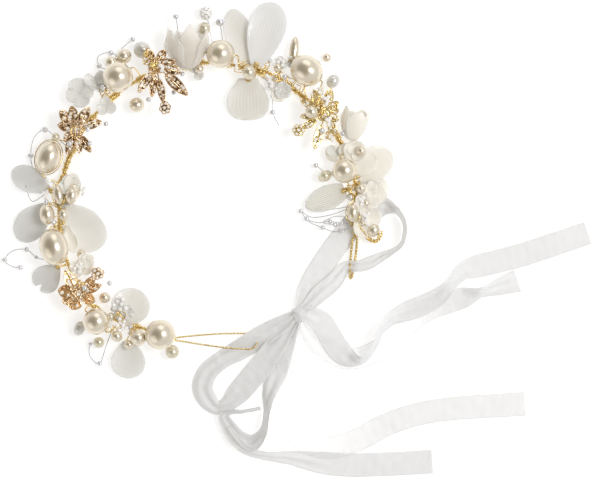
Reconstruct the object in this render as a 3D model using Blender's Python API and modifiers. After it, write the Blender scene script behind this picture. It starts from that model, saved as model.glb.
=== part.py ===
# A flower crown lying on a table: an open ring of wire with an eye at each end, large pearls on
# wire stems, frosted petals, leaf sprays and bead sprays around it, and ribbons tied in a bow
# between the eyes. Lengths here are in millimetres; MM turns them into Blender's metres.

import math

import bmesh
import bpy
from mathutils import Matrix, Vector

MM = 0.001
GAP = 0.3

# The ring of wire, seen from above. Angles run anticlockwise from +X about the ring's centre.
RING_CENTRE = (-46.0, 14.8)
RING_RADIUS = 78.0
RIGHT_END = -10.0
FLEX_POINT = 140.0
BEND_START = 215.0
LEFT_END = 249.0
LEFT_END_RADIUS = 68.0
WIRE_HEIGHT = 2.5
BAND_WIRE = 1.0
EYE_WIRE = 0.55
STEM_WIRE = 0.35
THREAD = 0.3
BEAD_RESOLUTION = 1
BAND_TOP = WIRE_HEIGHT + BAND_WIRE

PEARL_BORE = STEM_WIRE + GAP
PETAL_THICKNESS = 0.5
RIBBON_THICKNESS = 0.4
LEAF_WIDTH = 4.6
LEAF_THICKNESS = 1.5
HUB_RADIUS = 2.2

# Large pearls: angle, distance from the ring's centre, width, length along the bore, underside.
LARGE_PEARLS = {
    "large_pearl_1": (16.8, 73.9, 13.0, 13.0, 4.1),
    "large_pearl_2": (55.1, 89.5, 16.0, 18.0, 0.0),
    "large_pearl_3": (85.3, 81.9, 15.0, 15.0, 4.1),
    "large_pearl_4": (123.6, 83.7, 16.0, 16.0, 4.1),
    "large_pearl_5": (161.1, 87.6, 13.0, 17.5, 0.0),
    "large_pearl_6": (192.9, 81.6, 15.0, 17.5, 4.1),
    "large_pearl_7": (224.5, 80.9, 14.0, 14.0, 4.1),
    "large_pearl_8": (248.9, 68.0, 16.0, 16.0, 4.1),
}

# Petals: base angle and distance, heading, length, width, height at the base and at the tip.
PETALS = {
    "top_petal_left": (74.6, 77.8, 105.5, 32.2, 14.0, 4.2, 1.2),
    "top_petal_right": (71.8, 79.9, 74.3, 34.2, 19.0, 6.6, 3.2),
    "top_petal_inner": (73.4, 72.7, -90.0, 21.3, 21.0, 4.3, 1.6),
    "side_petal_upper": (172.4, 83.0, 151.5, 22.8, 12.6, 4.6, 2.0),
    "side_petal_outer": (177.1, 83.3, -131.6, 25.0, 15.6, 4.2, 1.0),
    "side_petal_inner": (177.2, 75.0, -50.6, 29.0, 20.0, 5.2, 1.5),
    "notched_petal": (199.8, 82.9, -133.7, 16.6, 14.6, 4.3, 1.0),
    "lower_petal_inner": (232.7, 73.8, 65.4, 20.0, 19.0, 4.2, 1.5),
    "lower_petal_outer": (238.1, 79.0, -90.0, 19.8, 17.2, 4.2, 0.9),
    "right_petal_upper": (13.3, 79.4, 36.4, 22.0, 17.0, 5.7, 6.2),
    "right_petal_lower": (10.9, 79.0, -20.6, 17.0, 15.5, 4.2, 2.2),
    "ribbed_petal": (9.1, 72.2, -155.2, 22.3, 9.4, 4.6, 4.4),
}

# Cup-shaped flowers: base angle and distance, heading, length, mouth width, height of the axis.
CUP_FLOWERS = {
    "cup_flower_large": (98.2, 75.5, 90.0, 22.0, 18.0, 9.6),
    "cup_flower_small": (26.6, 84.4, 78.3, 15.0, 11.0, 6.4),
}

# Flat flowers: angle, distance, width, number of round petals, height.
FLAT_FLOWERS = {
    "hydrangea": (137.3, 91.0, 15.0, 4, 5.4),
    "small_flower": (58.4, 74.3, 9.0, 5, 4.9),
}

# Leaf sprays: hub angle and distance, hub height, and each leaf's heading and length.
LEAF_SPRAYS = {
    "leaf_spray_1": (109.3, 80.4, 13.5, ((10, 12), (-44, 23), (-78, 25), (-97, 17), (-122, 17), (119, 10))),
    "leaf_spray_2": (147.8, 80.6, 10.5, ((56, 13), (16, 13), (-56, 17), (-78, 15), (-113, 12))),
    "leaf_spray_3": (212.4, 79.5, 9.5, ((118, 14), (46, 16), (22, 12), (173, 9), (-105, 7))),
    "leaf_spray_4": (39.7, 79.0, 9.5, ((-149, 17), (-107, 19), (-175, 13), (149, 15), (7, 9))),
}

# Beaded wires: points of angle, distance, height and bead radius, where 0 is bare wire.
BEADED_WIRES = {
    "bead_spray_top_left": (
        (119.5, 80.3, 2.0, 0), (119.5, 90.0, 1.8, 0), (121.5, 97.6, 2.0, 1.7), (125.2, 99.6, 2.0, 0),
        (126.8, 95.3, 2.0, 1.7), (124.5, 91.5, 2.0, 0), (119.0, 96.0, 2.0, 0), (113.6, 98.5, 2.2, 1.5),
    ),
    "bead_spray_left": (
        (155.3, 80.4, 2.4, 0), (154.0, 88.0, 2.2, 0), (153.2, 95.6, 2.0, 1.5), (157.0, 99.0, 1.9, 0),
        (162.4, 97.4, 1.9, 1.5), (166.0, 94.5, 1.9, 0),
    ),
    "bead_spray_lower_left": (
        (198.7, 80.3, 2.2, 0), (196.5, 88.0, 2.0, 0), (194.7, 92.9, 2.0, 1.2), (191.6, 97.0, 2.0, 1.5),
        (191.2, 104.0, 2.0, 0), (193.2, 109.3, 1.8, 1.5), (195.4, 106.5, 1.8, 0), (196.4, 102.4, 1.8, 1.5),
    ),
    "bead_spray_bottom": (
        (231.0, 80.2, 2.4, 0), (232.6, 88.0, 2.0, 0), (234.3, 97.3, 1.9, 1.5), (230.6, 97.4, 1.9, 0),
        (228.2, 92.5, 1.9, 1.2), (230.0, 88.5, 2.0, 0),
    ),
    "bead_spray_inner_top": (
        (68.4, 75.6, 2.6, 0), (65.2, 74.6, 3.0, 1.5), (60.9, 69.1, 3.0, 1.5), (57.2, 61.9, 3.0, 1.5),
        (50.8, 58.4, 2.4, 0),
    ),
    "bead_spray_inner_right": (
        (-0.8, 75.6, 2.4, 0), (-5.4, 70.7, 2.4, 1.4), (-4.4, 64.4, 2.4, 1.2), (-7.0, 60.3, 2.0, 1.4),
        (1.6, 55.7, 1.9, 1.2), (-4.0, 51.6, 1.9, 1.4), (0.6, 48.4, 1.9, 1.2),
    ),
    "crystal_stem": (
        (87.6, 79.8, 2.2, 0), (88.6, 88.0, 2.6, 0), (89.4, 95.0, 3.6, 3.2), (90.6, 103.6, 4.4, 4.0),
    ),
    "stem_pearl_top": ((112.6, 79.9, 2.6, 0), (112.4, 85.5, 3.6, 0), (112.2, 91.2, 5.0, 4.5)),
    "stem_pearl_inner": ((123.4, 76.2, 2.6, 0), (123.6, 71.0, 4.2, 0), (123.7, 67.0, 5.0, 4.0)),
    "stem_pearl_left": ((170.8, 76.3, 3.6, 0), (171.2, 70.6, 6.2, 4.3)),
    "stem_pearl_bottom": ((240.2, 72.6, 4.6, 0), (241.2, 74.6, 9.6, 4.1)),
}

# Ribbons: route points of x, y, height and width, from the knot outwards.
KNOT = (0.3, -38.7, 4.3)
KNOT_SIZE = (12.0, 11.0, 7.2)
RIBBONS = {
    "right_bow_loop": (
        (3.6, -32.4, 2.2, 6), (7.2, -24.0, 1.4, 9), (14.8, -11.2, 0.6, 12), (26.3, 4.4, 0.3, 12),
        (36.4, 14.4, 0.3, 11), (46.0, 18.0, 0.5, 10), (53.4, 13.8, 1.5, 10), (55.9, 6.0, 2.8, 10),
        (53.2, -2.0, 3.8, 10), (46.4, -7.6, 4.2, 10), (38.5, -11.6, 4.2, 8), (33.5, -13.3, 4.1, 6),
        (30.7, -13.5, 3.6, 6), (28.95, -13.5, 2.5, 6), (27.2, -13.5, 1.4, 6), (24.2, -15.2, 1.1, 7),
        (19.4, -21.6, 1.6, 9), (12.4, -27.6, 3.0, 9), (7.1, -33.0, 4.3, 6),
    ),
    "left_bow_loop": (
        (-6.8, -40.6, 5.4, 6), (-13.8, -44.6, 5.2, 9), (-20.0, -48.2, 4.5, 7), (-23.6, -50.2, 4.1, 4.6),
        (-27.0, -51.8, 3.8, 4.0), (-28.8, -52.7, 2.5, 4.0), (-30.6, -53.6, 1.2, 4.0),
        (-34.4, -56.2, 0.9, 6), (-42.6, -63.4, 1.1, 10), (-48.8, -72.0, 1.1, 10),
        (-48.4, -80.4, 1.5, 9), (-41.9, -85.6, 2.0, 9), (-34.6, -81.9, 2.1, 9),
        (-27.8, -71.5, 2.7, 10), (-19.0, -60.0, 3.8, 9), (-11.0, -49.6, 4.2, 8), (-5.4, -43.6, 4.3, 6),
    ),
    "centre_bow_loop": (
        (-3.2, -45.4, 2.9, 6), (-7.4, -54.3, 2.2, 10), (-11.2, -69.9, 1.9, 11), (-14.4, -81.9, 1.9, 9),
        (-15.4, -91.7, 1.9, 7), (-17.6, -101.8, 1.5, 8), (-24.2, -107.0, 1.1, 8), (-30.9, -103.2, 1.1, 8),
        (-35.6, -95.4, 1.0, 9), (-38.7, -89.2, 1.0, 10),
    ),
    "ribbon_tail_upper": (
        (5.4, -43.4, 4.2, 6), (11.2, -49.1, 3.0, 9), (18.5, -57.4, 1.6, 12), (25.2, -62.0, 1.2, 10),
        (32.2, -60.6, 1.2, 8), (38.0, -53.6, 1.2, 7), (43.9, -44.2, 1.2, 9), (50.2, -37.2, 1.2, 12),
        (61.6, -32.0, 1.2, 12), (73.8, -25.6, 1.2, 11), (82.0, -19.4, 1.0, 10), (92.8, -14.3, 0.4, 12),
        (116.2, -8.1, 0.2, 12), (137.0, -1.3, 0.2, 12), (152.4, 3.9, 0.2, 12),
    ),
    "ribbon_tail_middle": (
        (3.0, -45.6, 2.4, 5), (11.8, -53.6, 1.2, 9), (24.6, -61.6, 0.3, 11), (36.7, -60.1, 0.2, 11),
        (48.6, -53.3, 0.2, 12), (58.0, -43.9, 0.2, 12), (66.8, -37.1, 0.2, 12), (75.6, -33.5, 0.2, 12),
        (87.6, -29.8, 0.2, 11), (96.4, -26.9, 0.2, 10), (105.8, -24.2, 0.2, 12), (115.7, -21.0, 0.2, 12),
    ),
    "ribbon_tail_left": (
        (-36.5, -98.0, 0.2, 10), (-27.6, -108.6, 0.2, 10), (-16.4, -112.6, 0.2, 12),
        (-3.4, -114.3, 0.2, 13), (12.2, -116.4, 0.2, 13), (27.8, -117.4, 0.2, 13),
        (51.2, -116.8, 0.2, 13), (71.0, -115.6, 0.2, 13),
    ),
    "ribbon_tail_lower": (
        (-1.2, -45.4, 1.8, 5), (-5.0, -56.9, 1.1, 7), (-6.6, -75.1, 1.0, 7), (-5.4, -90.7, 1.0, 8),
        (-0.2, -101.4, 1.0, 10), (9.6, -107.3, 1.0, 12), (22.6, -107.5, 1.0, 12),
        (34.6, -103.0, 0.8, 12), (46.0, -96.9, 0.2, 12), (61.6, -91.3, 0.2, 12),
        (79.8, -88.1, 0.2, 12), (100.6, -86.6, 0.2, 12), (119.3, -85.5, 0.2, 12),
    ),
}

MATERIALS = {
    "gold_wire": ((0.76, 0.50, 0.16), 0.28, 1.0),
    "rose_gold": ((0.66, 0.36, 0.17), 0.30, 1.0),
    "pearl": ((0.82, 0.76, 0.62), 0.22, 0.0),
    "frosted_petal": ((0.86, 0.85, 0.80), 0.55, 0.0),
    "seed_bead": ((0.74, 0.75, 0.78), 0.20, 0.0),
    "crystal": ((0.80, 0.84, 0.88), 0.05, 0.0),
    "ribbon": ((0.85, 0.85, 0.86), 0.60, 0.0),
}


def clear_scene():
    for item in list(bpy.data.objects):
        bpy.data.objects.remove(item, do_unlink=True)


def make_collection(name):
    collection = bpy.data.collections.new(name)
    bpy.context.scene.collection.children.link(collection)
    return collection


def make_material(name):
    colour, roughness, metallic = MATERIALS[name]
    material = bpy.data.materials.new(name)
    material.use_nodes = True
    shader = material.node_tree.nodes["Principled BSDF"]
    shader.inputs["Base Color"].default_value = (*colour, 1.0)
    shader.inputs["Roughness"].default_value = roughness
    shader.inputs["Metallic"].default_value = metallic
    return material


def direction(angle):
    turn = math.radians(angle)
    return Vector((math.cos(turn), math.sin(turn), 0.0))


def station(angle, distance, height=0.0):
    """The point at an angle and a distance about the ring's centre."""
    return Vector((*RING_CENTRE, height)) + direction(angle) * distance


def tangent(angle):
    return direction(angle + 90.0)


def ring_radius(angle):
    """The wire's distance from the centre, which eases inwards before the left end."""
    share = max(0.0, (angle - BEND_START) / (LEFT_END - BEND_START))
    return RING_RADIUS + (LEFT_END_RADIUS - RING_RADIUS) * share * share * (3.0 - 2.0 * share)


def smooth_route(points, steps):
    """Points along a Catmull-Rom curve through the given points of any dimension."""
    ends = [points[0], *points, points[-1]]
    route = []
    for index in range(len(points) - 1):
        before, start, end, after = (Vector(point) for point in ends[index:index + 4])
        for step in range(steps):
            t = step / steps
            route.append(
                0.5 * (2.0 * start + (end - before) * t + (2.0 * before - 5.0 * start + 4.0 * end - after) * t * t
                       + (3.0 * start - before - 3.0 * end + after) * t ** 3)
            )
    route.append(Vector(points[-1]))
    return route


class Crown:
    """The collections, the materials and the ways of making each kind of piece."""

    def __init__(self):
        self.parts = make_collection("flower_crown")
        self.helpers = make_collection("union_helpers")
        self.materials = {name: make_material(name) for name in MATERIALS}

    def add(self, name, data, material, matrix=None, parent=None):
        item = bpy.data.objects.new(name, data)
        data.materials.append(self.materials[material])
        self.parts.objects.link(item)
        if matrix is not None:
            item.matrix_world = matrix
        if parent is not None:
            item.parent = parent
            item.matrix_parent_inverse = parent.matrix_world.inverted()
        return item

    def pivot(self, name, point):
        """An empty on a joint's axis."""
        empty = bpy.data.objects.new(name, None)
        empty.location = Vector(point) * MM
        self.parts.objects.link(empty)
        bpy.context.view_layer.update()
        return empty

    def tube(self, name, points, radius, material, parent=None, radii=None, resolution=2):
        """A wire along points in millimetres, with filled ends and a radius factor for each point."""
        curve = bpy.data.curves.new(name, "CURVE")
        curve.dimensions = "3D"
        curve.fill_mode = "FULL"
        curve.bevel_depth = radius * MM
        curve.bevel_resolution = resolution
        curve.use_fill_caps = True
        spline = curve.splines.new("POLY")
        spline.points.add(len(points) - 1)
        for index, point in enumerate(points):
            spline.points[index].co = (*(Vector(point) * MM), 1.0)
            spline.points[index].radius = radii[index] if radii else 1.0
        return self.add(name, curve, material, parent=parent)

    def turned(self, name, profile, closed, steps, material, matrix, parent=None):
        """A profile of radius and height, from top to bottom, turned about its own Z."""
        mesh = bpy.data.meshes.new(name)
        edges = [(index, index + 1) for index in range(len(profile) - 1)]
        if closed:
            edges.append((len(profile) - 1, 0))
        mesh.from_pydata([(radius * MM, 0.0, height * MM) for radius, height in profile], edges, [])
        item = self.add(name, mesh, material, matrix, parent)
        screw = item.modifiers.new("turn", "SCREW")
        screw.axis = "Z"
        screw.steps = steps
        screw.render_steps = steps
        screw.use_merge_vertices = True
        screw.merge_threshold = 0.00001
        screw.use_smooth_shade = True
        return item

    def band(self, name, start, end, parent=None, tail=()):
        count = round(abs(end - start) / 4.0)
        points = []
        for index in range(count + 1):
            angle = start + (end - start) * index / count
            points.append(station(angle, ring_radius(angle), WIRE_HEIGHT))
        points.extend(Vector((*point, WIRE_HEIGHT)) for point in tail)
        self.tube(name, points, BAND_WIRE, "gold_wire", parent)

    def eye(self, name, start, end, root_half, tip_half, parent=None):
        """A long eye of wire: out along one strand, round the end and back along the other."""
        start = Vector((*start, WIRE_HEIGHT))
        end = Vector((*end, WIRE_HEIGHT))
        ahead = (end - start).normalized()
        side = Vector((-ahead.y, ahead.x, 0.0))
        centre = end - ahead * tip_half
        points = []
        for share in (0.0, 0.25, 0.5, 0.75):
            spread = root_half + (tip_half - root_half) * math.sin(share * math.pi / 2.0)
            points.append(start.lerp(centre, share) + side * spread)
        half_turn = [math.pi * step / 10.0 for step in range(11)]
        back = [point - 2.0 * side * (point - start).dot(side) for point in reversed(points)]
        points.extend(centre + (side * math.cos(turn) + ahead * math.sin(turn)) * tip_half for turn in half_turn)
        self.tube(name, points + back, EYE_WIRE, "gold_wire", parent)

    def large_pearl(self, name, angle, distance, width, length, underside, parent=None):
        """A drilled pearl, its bore along the ring, and the wire stem that it turns on."""
        centre = station(angle, distance, underside + width / 2.0)
        turn = Vector((0.0, 0.0, 1.0)).rotation_difference(tangent(angle)).to_matrix().to_4x4()
        bore_edge = math.asin(2.0 * PEARL_BORE / width)
        sweep = [bore_edge + (math.pi - 2.0 * bore_edge) * step / 8.0 for step in range(9)]
        profile = [(width / 2.0 * math.sin(arc), length / 2.0 * math.cos(arc)) for arc in sweep]
        pivot = self.pivot(name + "_pivot", centre)
        matrix = Matrix.Translation(centre * MM) @ turn
        self.turned(name, profile, True, 14, "pearl", matrix, pivot)
        along = tangent(angle)
        foot_distance = min(max(distance, ring_radius(angle) - 0.3), ring_radius(angle) + 0.3)
        foot = station(angle, foot_distance, BAND_TOP + GAP + STEM_WIRE)
        reach = length / 2.0
        points = []
        for sign in (-1.0, 1.0):
            leg = [
                foot + along * sign * (reach + 1.9),
                foot.lerp(centre, 0.55) + along * sign * (reach + 1.9),
                centre.lerp(foot, 0.12) + along * sign * (reach + 1.6),
                centre + along * sign * (reach + 0.9),
                centre + along * sign * reach,
            ]
            points.extend(leg if sign < 0.0 else reversed(leg))
        self.tube(name + "_stem", points, STEM_WIRE, "gold_wire", parent, resolution=1)

    def petal(self, name, angle, distance, heading, length, width, base, tip, parent=None):
        """A thin petal with a narrow base, a round end and edges that curl up."""
        grid = bmesh.new()
        bmesh.ops.create_grid(grid, x_segments=7, y_segments=4, size=1.0)
        for vertex in grid.verts:
            along = (vertex.co.x + 1.0) / 2.0
            across = vertex.co.y
            half = width / 2.0 * (0.16 + 0.84 * math.sin(0.80 * math.pi * along ** 0.85))
            reach = length * along * (1.0 - 0.22 * across * across * along * along)
            lift = 1.4 * across * across * math.sin(math.pi * along)
            vertex.co = Vector((reach, half * across, (tip - base) * along + lift)) * MM
        mesh = bpy.data.meshes.new(name)
        grid.to_mesh(mesh)
        grid.free()
        place = Matrix.Translation(station(angle, distance, base) * MM)
        matrix = place @ Matrix.Rotation(math.radians(heading), 4, "Z")
        item = self.add(name, mesh, "frosted_petal", matrix, parent)
        self.thicken(item, PETAL_THICKNESS)

    def thicken(self, item, thickness, offset=0.0):
        shell = item.modifiers.new("thickness", "SOLIDIFY")
        shell.thickness = thickness * MM
        shell.offset = offset

    def cup_flower(self, name, angle, distance, heading, length, mouth, height, parent=None):
        """An open cup turned from a profile, lying with its mouth outwards."""
        widest = mouth / 2.0
        profile = [
            (widest, length), (widest * 0.80, length * 0.82), (widest * 0.72, length * 0.58),
            (widest * 0.58, length * 0.32), (widest * 0.30, length * 0.12), (0.0, 0.0),
        ]
        base = station(angle, distance, height)
        turn = Vector((0.0, 0.0, 1.0)).rotation_difference(direction(heading)).to_matrix().to_4x4()
        item = self.turned(name, profile, False, 14, "frosted_petal", Matrix.Translation(base * MM) @ turn, parent)
        self.thicken(item, 0.7, -1.0)

    def flat_flower(self, name, angle, distance, width, lobes, height, parent=None):
        """A flower of round petals cut from one flat sheet."""
        curve = bpy.data.curves.new(name, "CURVE")
        curve.dimensions = "2D"
        curve.fill_mode = "BOTH"
        curve.extrude = 0.4 * MM
        spline = curve.splines.new("POLY")
        count = lobes * 9
        spline.points.add(count - 1)
        for index in range(count):
            turn = math.tau * index / count
            reach = width / 2.0 * (0.62 + 0.38 * abs(math.cos(lobes * turn / 2.0)) ** 0.6)
            spline.points[index].co = (reach * MM * math.cos(turn), reach * MM * math.sin(turn), 0.0, 1.0)
        spline.use_cyclic_u = True
        matrix = Matrix.Translation(station(angle, distance, height) * MM)
        self.add(name, curve, "frosted_petal", matrix, parent)

    def leaf_spray(self, name, angle, distance, height, leaves):
        """A hub on a short stem with pointed leaves, joined into one solid."""
        foot = station(angle, distance, BAND_TOP + GAP)
        hub = station(angle, distance, height)
        pivot = self.pivot(name + "_pivot", foot)
        union = bpy.data.collections.new(name + "_leaves")
        self.helpers.children.link(union)
        for heading, length in leaves:
            leaf = bmesh.new()
            bmesh.ops.create_uvsphere(leaf, u_segments=8, v_segments=6, radius=0.5)
            for vertex in leaf.verts:
                taper = 1.0 - 0.35 * abs(2.0 * vertex.co.z)
                vertex.co.x *= LEAF_THICKNESS * taper * MM
                vertex.co.y *= LEAF_WIDTH * taper * MM
                vertex.co.z *= length * MM
            mesh = bpy.data.meshes.new(name + "_leaf")
            leaf.to_mesh(mesh)
            leaf.free()
            helper = bpy.data.objects.new(name + "_leaf", mesh)
            ahead = (direction(heading) + Vector((0.0, 0.0, 0.10))).normalized()
            side = Vector((0.0, 0.0, 1.0)).cross(ahead).normalized()
            axes = Matrix((ahead.cross(side) * -1.0, side, ahead)).transposed().to_4x4()
            helper.matrix_world = Matrix.Translation((hub + ahead * (length / 2.0 + 0.4)) * MM) @ axes
            helper.hide_render = True
            helper.display_type = "WIRE"
            union.objects.link(helper)
        stem = bmesh.new()
        bmesh.ops.create_cone(
            stem, cap_ends=True, segments=8, radius1=0.8 * MM, radius2=0.8 * MM, depth=(height - foot.z) * MM
        )
        mesh = bpy.data.meshes.new(name + "_post")
        stem.to_mesh(mesh)
        stem.free()
        post = bpy.data.objects.new(name + "_post", mesh)
        post.location = (hub + foot) * 0.5 * MM
        post.hide_render = True
        post.display_type = "WIRE"
        union.objects.link(post)
        ball = bmesh.new()
        bmesh.ops.create_uvsphere(ball, u_segments=10, v_segments=8, radius=HUB_RADIUS * MM)
        mesh = bpy.data.meshes.new(name)
        ball.to_mesh(mesh)
        ball.free()
        item = self.add(name, mesh, "rose_gold", Matrix.Translation(hub * MM), pivot)
        join = item.modifiers.new("join", "BOOLEAN")
        join.operation = "UNION"
        join.operand_type = "COLLECTION"
        join.collection = union
        join.solver = "EXACT"

    def beaded_wire(self, name, points, material, parent=None):
        """One thread of wire that swells into a round bead wherever a bead is strung."""
        line = smooth_route([(*station(angle, far, height), bead) for angle, far, height, bead in points], 3)
        route = []
        radii = []
        for index, spot in enumerate(line):
            place = spot.xyz
            bead = points[index // 3][3] if index % 3 == 0 else 0
            if not bead:
                if all((place - line[3 * k].xyz).length > p[3] + 0.4 for k, p in enumerate(points) if p[3]):
                    route.append(place)
                    radii.append(1.0)
                continue
            ahead = (line[min(index + 1, len(line) - 1)].xyz - line[max(index - 1, 0)].xyz).normalized()
            for arc in (-78.0, -45.0, -15.0, 15.0, 45.0, 78.0):
                turn = math.radians(arc)
                route.append(place + ahead * bead * math.sin(turn))
                radii.append(max(1.0, bead * math.cos(turn) / THREAD))
        self.tube(name, route, THREAD, material, parent, radii, BEAD_RESOLUTION)

    def ribbon(self, name, points, parent=None):
        """A flat strip along a route of x, y, height and width."""
        route = smooth_route(points, 3)
        grid = bmesh.new()
        bmesh.ops.create_grid(grid, x_segments=len(route) - 1, y_segments=1, size=1.0)
        for vertex in grid.verts:
            index = round((vertex.co.x + 1.0) / 2.0 * (len(route) - 1))
            here = route[index]
            ahead = route[min(index + 1, len(route) - 1)] - route[max(index - 1, 0)]
            side = Vector((-ahead.y, ahead.x, 0.0)).normalized()
            vertex.co = (Vector(here.xyz) + side * here.w / 2.0 * vertex.co.y) * MM
        mesh = bpy.data.meshes.new(name)
        grid.to_mesh(mesh)
        grid.free()
        item = self.add(name, mesh, "ribbon", parent=parent)
        self.thicken(item, RIBBON_THICKNESS)

    def knot(self, name):
        ball = bmesh.new()
        bmesh.ops.create_uvsphere(ball, u_segments=14, v_segments=8, radius=0.5)
        for vertex in ball.verts:
            vertex.co = Vector([part * size * MM for part, size in zip(vertex.co, KNOT_SIZE)])
        mesh = bpy.data.meshes.new(name)
        ball.to_mesh(mesh)
        ball.free()
        self.add(name, mesh, "ribbon", Matrix.Translation(Vector(KNOT) * MM))


def side_of(angle, left_arm):
    """Everything past the flex point rides on the left arm."""
    return left_arm if angle > FLEX_POINT else None


def main():
    clear_scene()
    crown = Crown()
    left_arm = crown.pivot("band_flex_pivot", station(FLEX_POINT, RING_RADIUS, WIRE_HEIGHT))
    half_gap = math.degrees(GAP / 2.0 / RING_RADIUS)
    crown.band("band_wire_right", RIGHT_END, FLEX_POINT - half_gap)
    crown.band("band_wire_left", FLEX_POINT + half_gap, LEFT_END, left_arm, ((-66.6, -50.2), (-62.9, -51.2)))
    crown.eye("right_end_eye", (30.5, 0.7), (28.3, -19.6), 0.75, 1.75)
    crown.eye("left_end_eye", (-62.3, -51.3), (-20.6, -52.8), 0.75, 4.1, left_arm)
    for name, values in LARGE_PEARLS.items():
        crown.large_pearl(name, *values, side_of(values[0], left_arm))
    for name, values in PETALS.items():
        crown.petal(name, *values, side_of(values[0], left_arm))
    for name, values in CUP_FLOWERS.items():
        crown.cup_flower(name, *values)
    for name, values in FLAT_FLOWERS.items():
        crown.flat_flower(name, *values)
    for name, values in LEAF_SPRAYS.items():
        crown.leaf_spray(name, *values)
    for name, points in BEADED_WIRES.items():
        material = "pearl" if "pearl" in name else "crystal" if "crystal" in name else "seed_bead"
        crown.beaded_wire(name, points, material, side_of(points[0][0], left_arm))
    crown.knot("bow_knot")
    for name, points in RIBBONS.items():
        crown.ribbon(name, points)


main()
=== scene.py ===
import math
import random

import bmesh
import bpy
from mathutils import Matrix, Vector


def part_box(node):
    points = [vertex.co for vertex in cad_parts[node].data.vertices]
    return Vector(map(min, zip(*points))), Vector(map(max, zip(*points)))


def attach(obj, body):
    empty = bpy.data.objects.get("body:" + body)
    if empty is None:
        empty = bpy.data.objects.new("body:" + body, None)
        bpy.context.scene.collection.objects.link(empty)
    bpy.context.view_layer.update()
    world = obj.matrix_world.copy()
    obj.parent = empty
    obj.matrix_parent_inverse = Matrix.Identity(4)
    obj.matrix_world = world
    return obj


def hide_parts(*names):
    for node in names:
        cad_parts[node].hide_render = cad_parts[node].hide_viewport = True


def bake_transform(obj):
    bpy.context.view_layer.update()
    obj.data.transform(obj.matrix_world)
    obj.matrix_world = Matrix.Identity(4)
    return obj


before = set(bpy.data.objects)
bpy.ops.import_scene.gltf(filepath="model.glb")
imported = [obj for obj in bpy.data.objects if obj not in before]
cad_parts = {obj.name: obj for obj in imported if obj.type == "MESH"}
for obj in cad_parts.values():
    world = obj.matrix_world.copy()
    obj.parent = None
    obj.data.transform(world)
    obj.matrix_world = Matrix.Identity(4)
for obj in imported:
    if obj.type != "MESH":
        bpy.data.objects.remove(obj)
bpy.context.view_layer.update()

random.seed(7)

# Shapes are worked out in millimetres and brought to metres as each piece is finished.
mm = 0.001
rightArm, leftArm = "right_arm_and_bow", "left_arm"
ring = {"x": -46.0, "y": 14.8, "radius": 78.0, "height": 2.5, "rightEnd": -10.0, "flex": 140.0,
        "bend": 215.0, "leftEnd": 249.0, "leftRadius": 68.0}


# places round the ring

def heading(angle):
    turn = math.radians(angle)
    return Vector((math.cos(turn), math.sin(turn), 0.0))


def station(angle, distance, height=0.0):
    return Vector((ring["x"], ring["y"], height)) + heading(angle) * distance


def bodyAt(angle):
    return leftArm if angle > ring["flex"] else rightArm


def tag(body):
    return {rightArm: "right", leftArm: "left"}.get(body, body)


def ease(share):
    share = max(0.0, min(1.0, share))
    return share * share * (3.0 - 2.0 * share)


def bandDistance(angle):
    share = ease((angle - ring["bend"]) / (ring["leftEnd"] - ring["bend"]))
    return ring["radius"] + (ring["leftRadius"] - ring["radius"]) * share


def smoothRoute(points, steps):
    ends = [points[0], *points, points[-1]]
    route = []
    for index in range(len(points) - 1):
        before, start, end, after = (Vector(point) for point in ends[index:index + 4])
        for step in range(steps):
            t = step / steps
            bend = 2.0 * before - 5.0 * start + 4.0 * end - after
            curl = 3.0 * start - before - 3.0 * end + after
            route.append(0.5 * (2.0 * start + (end - before) * t + bend * t * t + curl * t ** 3))
    route.append(Vector(points[-1]))
    return route


def evenRoute(route, spacing):
    lengths = [0.0]
    for index in range(1, len(route)):
        lengths.append(lengths[-1] + (route[index].xyz - route[index - 1].xyz).length)
    count = max(2, round(lengths[-1] / spacing))
    spaced, index = [], 0
    for step in range(count + 1):
        reach = lengths[-1] * step / count
        while index < len(route) - 2 and lengths[index + 1] < reach:
            index += 1
        share = (reach - lengths[index]) / max(1e-9, lengths[index + 1] - lengths[index])
        spaced.append(route[index].lerp(route[index + 1], share))
    return spaced, lengths[-1]


def twistRound(route, radius, pitch, phase, perTurn=12):
    points, length = evenRoute(route, pitch / perTurn)
    strand = []
    for index, point in enumerate(points):
        ahead = (points[min(index + 1, len(points) - 1)] - points[max(index - 1, 0)]).normalized()
        side = ahead.cross(Vector((0.0, 0.0, 1.0)))
        side = side.normalized() if side.length > 1e-4 else Vector((1.0, 0.0, 0.0))
        lift = side.cross(ahead)
        turn = math.tau * index / perTurn + phase
        strand.append(point + (side * math.cos(turn) + lift * math.sin(turn)) * radius)
    return strand


# materials

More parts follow.
